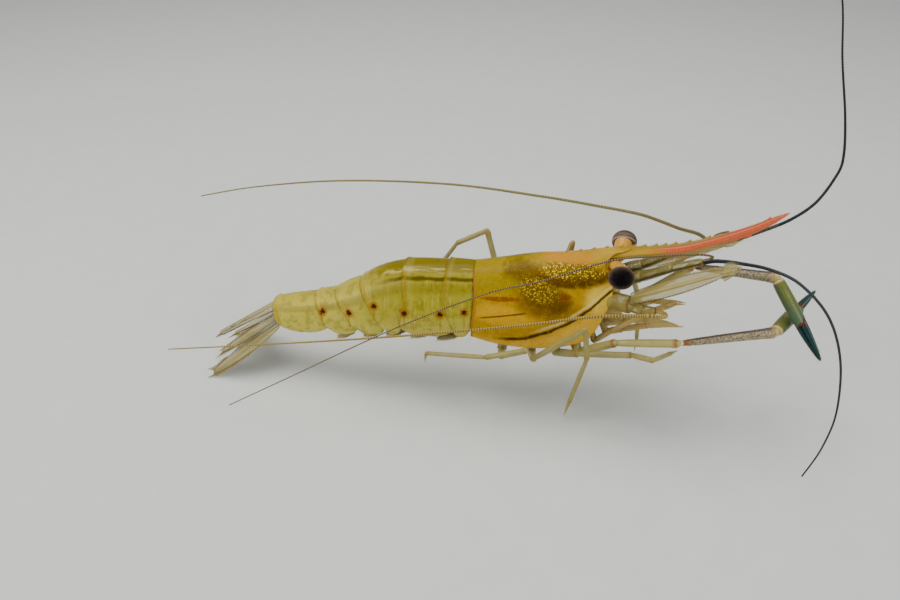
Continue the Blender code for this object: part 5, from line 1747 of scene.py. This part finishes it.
# %% Antennule stems
ANTENNULE = [(-1.6, 1.4, 22.2), (3.9, 2.1, 24.0), (8.4, 2.5, 26.3), (12.7, 2.8, 27.9)]
ANTENNULE_RADII = [1.35, 1.22, 0.98, 0.78]
STEM_FLATNESS = 0.70
STEM_HAIRS = 80
for side_name, side in SIDES.items():
    places = mirrored(ANTENNULE, side)
    pieces = []
    for i in range(3):
        start = places[i].lerp(places[i - 1], 0.06) if i else places[i]
        pieces.append(between(PLAIN_MODEL, start, places[i + 1], ANTENNULE_RADII[i],
                              ANTENNULE_RADII[i + 1], STEM_FLATNESS, (0, 1, 0)))
    thorn = places[0].lerp(places[1], 0.55) + Vector((0, side * 1.1, 0.1))
    pieces.append(between(POINT_MODEL, thorn, thorn + Vector((2.6, side * 0.35, 1.1)), 0.36, 0.3))
    roots = []
    for k in range(STEM_HAIRS):
        share = k / STEM_HAIRS
        foot = places[1].lerp(places[3], share) + Vector((0, side * (0.95 - 0.25 * share), 0))
        roots.append((foot, foot + Vector((0.7, side * 0.35, 0.2 + 0.2 * random.random()))))
    pieces.append(hairs("stem_hairs", roots, 0.02))
    stem = join("antennule_stem_" + side_name, pieces)
    dress(stem, STEM_DARK, "limb", "antennule_peduncle_" + side_name)

# %% [markdown]
# The feelers are long smooth tubes along the same routes as the solids. Their rings are real:
# the radius swells a little at each one. The map along them counts millimetres, so that the
# material can space its dark rings as the real feeler does. A curve with a bevel is the usual
# way, but its map would not count millimetres.

# %% Feeler helper
ROUTES = {
    "antennule_outer_left": [
        (17.2, 3.2, 28.9), (21.2, 3.1, 30.9), (25.3, 3.3, 33.2), (28.5, 3.5, 36.2),
        (30.6, 3.7, 40.4), (31.2, 3.9, 43.5), (30.4, 4.3, 49.4), (28.5, 4.7, 57.8),
        (27.0, 5.1, 66.0), (24.6, 5.6, 72.5)],
    "antennule_outer_right": [
        (15.2, -2.8, 28.2), (18.3, -3.0, 28.2), (22.5, -4.2, 28.2), (26.5, -7.2, 27.8),
        (30.2, -12.1, 25.6), (31.8, -17.4, 21.9), (31.5, -22.9, 17.0), (29.6, -27.2, 13.6),
        (27.0, -30.6, 10.9)],
    "antennule_inner_left": [
        (14.9, 4.9, 28.9), (16.9, 7.0, 28.6), (16.0, 9.8, 26.4), (12.0, 12.0, 22.8),
        (5.0, 14.0, 20.4), (-5.0, 15.4, 17.0), (-18.0, 16.2, 12.6), (-32.0, 16.8, 8.4),
        (-43.0, 17.4, 4.6), (-49.0, 17.8, 2.2)],
    "antennule_inner_right": [
        (13.8, -4.2, 29.6), (11.6, -5.2, 30.2), (5.4, -5.9, 29.7), (-1.2, -6.6, 28.6),
        (-11.2, -8.8, 25.3), (-19.3, -10.5, 23.2), (-33.4, -13.8, 17.2), (-49.5, -17.2, 8.6),
        (-60.0, -19.2, 2.9)],
    "antenna_left": [
        (9.4, 8.6, 21.4), (12.8, 10.3, 23.2), (14.0, 10.1, 25.0), (12.5, 8.6, 27.0),
        (9.2, 5.5, 29.2), (5.9, 3.0, 31.4), (2.5, 0.2, 33.6), (-3.5, -1.6, 35.2),
        (-12.6, -2.2, 36.4), (-26.6, -2.1, 37.2), (-43.5, -2.2, 36.5), (-58.0, -2.4, 34.4),
        (-68.0, -2.6, 32.0)],
    "antenna_right": [
        (7.9, -7.4, 20.7), (7.6, -8.6, 20.9), (5.0, -8.8, 20.9), (-3.0, -8.5, 19.7),
        (-12.8, -8.7, 17.3), (-26.0, -9.6, 14.9), (-39.0, -10.9, 13.0), (-56.0, -12.6, 10.9),
        (-72.0, -14.0, 9.0)],
}
RING_SWELL = 0.07
FEELER_AROUND = 8


def feeler(name, route, thick, fine, spacing):
    """A ringed feeler that tapers from radius thick to radius fine."""
    points = smooth_route(route, spacing / 2)
    lengths = [0.0]
    for before, after in zip(points, points[1:]):
        lengths.append(lengths[-1] + (after - before).length)
    whole = lengths[-1]
    radii = []
    for i, length in enumerate(lengths):
        radius = thick + (fine - thick) * (length / whole) ** 0.55
        radii.append(radius * (1 + (RING_SWELL if i % 2 else -RING_SWELL)))
    radii[0] = 0
    radii[-1] = 0
    piece = tube(name, points, radii, FEELER_AROUND)
    for loop in piece.data.uv_layers[0].data:
        loop.uv.y *= whole
    return piece


print("feeler helper ready")

# %% [markdown]
# The outer feelers of the antennules are thick and nearly black, the inner ones thin, pale and
# dotted. Both start side by side inside the end of the stem, so no joint shows, and then follow
# their routes.

# %% Antennule feelers
SHORT_FEELERS = {
    # radius at the root and at the end, ring spacing
    "outer": (0.40, 0.12, 0.38),
    "inner": (0.20, 0.085, 0.36),
}
for side_name, side in SIDES.items():
    places = mirrored(ANTENNULE, side)
    forward = (places[3] - places[2]).normalized()
    across = forward.cross(Vector((0, 0, 1))).normalized()
    for label, outward in (("outer", -1), ("inner", 1)):
        start = places[3] - across * (side * outward * 0.42)
        if side_name == "right":
            start = places[3] + Vector((0, 0.25, -0.4)) * (1 if label == "outer" else -1)
        key = "antennule_%s_%s" % (label, side_name)
        route = [start - forward * 0.5, start + forward * 1.2] + ROUTES[key]
        piece = feeler(key, route, *SHORT_FEELERS[label])
        if label == "outer":
            dress(piece, FEELER_DARK, "feeler", key + "_1", key + "_2")
        else:
            dress(piece, FEELER_DOTTED, "pale_feeler", key)

# %% [markdown]
# Below each antennule stands an antenna: a fat base, a short arm that carries the longest
# feeler, and a broad clear scale that works as a rudder. The scale's outer edge is straight,
# has a row of dark stubs and ends in a tooth; its inner edge is round and fringed with hairs.

# %% Antennae
ANTENNA = [(-1.4, 2.6, 19.8), (1.2, 4.1, 20.2), (2.7, 5.0, 20.4), (4.6, 5.9, 20.2), (6.5, 6.5, 20.5)]
ANTENNA_STEM = [
    # from and to which place, how far the first is set back, radii, flatness
    (0, 2, 0.0, (1.45, 1.5), 0.9),
    (2, 3, 0.5, (1.0, 0.92), 1.0),
    (3, 4, 0.2, (0.86, 0.66), 1.0),
]
SCALE_ROOT = (2.4, 5.0, 21.5)
SCALE_TIP = {"right": (17.7, -6.9, 29.3), "left": (18.8, 6.8, 27.4)}
SCALE_HALF_WIDTH = 2.2
SCALE_THICKNESS = 0.2
SCALE_ROLL = math.radians(12)
SCALE_HAIRS = 240
SCALE_TIP_HAIRS = 50
SCALE_STUBS = 26
LONG_FEELERS = {
    # radius at the root and material
    "right": (0.36, FEELER_BANDED),
    "left": (0.42, FEELER_OLIVE),
}
LONG_FEELER_END = 0.10
LONG_FEELER_RINGS = 0.41


def scale_outline(share):
    """Width of an antenna scale: round, and cut off short at its end."""
    if share < 0.86:
        return 0.33 + 0.67 * math.sin(math.pi * min(share * 1.05 + 0.1, 1.0)) ** 0.6
    return max(0.9 * (1 - ((share - 0.86) / 0.14) ** 2 * 0.9), 0.05)


for side_name, side in SIDES.items():
    places = mirrored(ANTENNA, side)
    pieces = []
    for first, last, back, radii, flatness in ANTENNA_STEM:
        start = places[first] - Vector((back, 0, 0))
        pieces.append(between(PLAIN_MODEL, start, places[last], *radii, flatness))
    thorn = places[1] + Vector((0.8, side * 1.25, 0.1))
    pieces.append(between(POINT_MODEL, thorn, thorn + Vector((1.5, side * 0.3, 0.2)), 0.3, 0.3))
    stem = join("antenna_stem_" + side_name, pieces)
    dress(stem, STEM_CLEAR, "limb", "antenna_peduncle_" + side_name)

    run = (places[4] - places[3]).normalized()
    route = [places[4] - run * 0.4, places[4] + run * 0.5] + ROUTES["antenna_" + side_name]
    key = "antenna_flagellum_" + side_name
    thick, material = LONG_FEELERS[side_name]
    piece = feeler(key, route, thick, LONG_FEELER_END, LONG_FEELER_RINGS)
    dress(piece, material, "pale_feeler", key + "_1", key + "_2")

    root = mirrored([SCALE_ROOT], side)[0]
    reach = Vector(SCALE_TIP[side_name]) - root
    forward = reach.normalized()
    pitch, yaw = math.asin(reach.z / reach.length), math.atan2(reach.y, reach.x)
    piece, edge = blade("scale_blade", reach.length, SCALE_HALF_WIDTH, SCALE_THICKNESS, scale_outline,
                        root, pitch, yaw, roll=-side * SCALE_ROLL, rib=0.22)
    tooth = between(POINT_MODEL, edge(0.84, side), edge(0.97, side, 0.5), 0.2, 0.2)
    dress(join("scale_%s_blade" % side_name, [piece, tooth]), BLADE_CLEAR, "fan", "scale_" + side_name)
    roots = []
    for k in range(SCALE_HAIRS):
        share = 0.22 + 0.77 * k / SCALE_HAIRS
        foot = edge(min(share, 0.99), -side, -0.06)
        tip = edge(min(share + 0.03, 1.0), -side, 0.45 + 0.25 * random.random()) + forward * 0.5
        roots.append((foot, tip))
    for k in range(SCALE_TIP_HAIRS):
        foot = edge(0.985, -side + 1.6 * side * k / SCALE_TIP_HAIRS, -0.05)
        roots.append((foot, foot + forward * (0.6 + 0.25 * random.random())))
    dress(hairs("scale_%s_fringe" % side_name, roots, 0.022), HAIR_CLEAR, "fan")
    stubs = []
    for k in range(SCALE_STUBS):
        share = 0.10 + 0.72 * k / SCALE_STUBS
        stubs.append((edge(share, side, -0.18), edge(share + 0.010, side, 0.16)))
    dress(hairs("scale_%s_stubs" % side_name, stubs, 0.15), STUB_DARK, "fan")

# %% [markdown]
# Five pairs of swimmerets hang under the abdomen. Each has a short stem and two soft leaf
# blades with a hair fringe. They shrink towards the tail. They differ in nothing but size and
# place, so one loop makes all ten.

# %% Swimmerets
PLEOPOD_BLADES = [
    # place sideways, length, half width
    (0.6, 4.6, 0.85),
    (-0.4, 3.8, 0.6),
]
LEAF_THICKNESS = 0.16
LEAF_ROWS = 26
LEAF_PITCH = math.radians(-14)
LEAF_ROLL = math.radians(14)
LEAF_HAIRS = 34                # on each rim
SHRINK = 0.09                  # how much smaller each pair is than the one in front
STEM_TURN = math.radians(109)  # where the stems leave the plates, seen from the crest


def leaf(share):
    """Width of a soft leaf blade."""
    return max(math.sin(math.pi * (0.16 + 0.80 * share)) ** 0.7, 0.05)


def plate_underside(number, x):
    """Height at x of the line along a plate where the swimmerets' stems begin."""
    front, rear = ABDOMEN_JOINTS[number - 1], ABDOMEN_JOINTS[number]
    level = (1 - math.cos(STEM_TURN)) / (1 - math.cos(ARCH_REACH))
    x0 = front[0] + (front[2] - front[0]) * level
    z0 = front[1] + (front[3] - front[1]) * level
    x1 = rear[0] + (rear[2] - rear[0]) * level
    z1 = rear[1] + (rear[3] - rear[1]) * level
    return z0 + (z1 - z0) * (x - x0) / (x1 - x0)


for number in range(1, 6):
    front, rear = ABDOMEN_JOINTS[number - 1], ABDOMEN_JOINTS[number]
    x = (front[2] + rear[2]) / 2 + 0.9
    size = 1.0 - SHRINK * (number - 1)
    for side_name, side in SIDES.items():
        y = side * (1.35 + 0.7 * size)
        top = Vector((x, y, plate_underside(number, x) + 0.3))
        knee = Vector((x - 0.3, y * 1.02, top.z - 0.7 - 2.2 * size))
        pieces = [between(PLAIN_MODEL, top, knee, 0.78 * size, 0.62 * size)]
        roots = []
        for sideways, length, half_width in PLEOPOD_BLADES:
            root = knee + Vector((0.35, side * sideways * 0.5, 0.35))
            yaw = math.pi - side * math.radians(22 * sideways)
            piece, edge = blade("leaf", length * size, half_width * size, LEAF_THICKNESS, leaf,
                                root, LEAF_PITCH, yaw, roll=side * LEAF_ROLL, rib=0.06,
                                rows=LEAF_ROWS)
            pieces.append(piece)
            for k in range(LEAF_HAIRS):
                share = 0.25 + 0.74 * k / LEAF_HAIRS
                for edge_side in (-1, 1):
                    foot = edge(share, edge_side, -0.04)
                    tip = edge(min(share + 0.08, 1), edge_side, 0.4) + Vector((-0.45, 0, -0.15))
                    roots.append((foot, tip))
        pieces.append(hairs("leaf_fringe", roots, 0.022))
        name = "pleopod_%d_%s" % (number, side_name)
        dress(join(name + "_leaf", pieces), LEG_SHELL, "limb", name)

# %% [markdown]
# The models have done their work and go. Then the lesson lists every solid that is still
# showing, because nothing may be left undressed.

# %% Check and finish
for model in MODELS:
    bpy.data.objects.remove(model)
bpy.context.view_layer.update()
bare = [name for name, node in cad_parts.items() if not node.hide_render]
print("solids still showing:", bare)
bpy.context.view_layer.update()
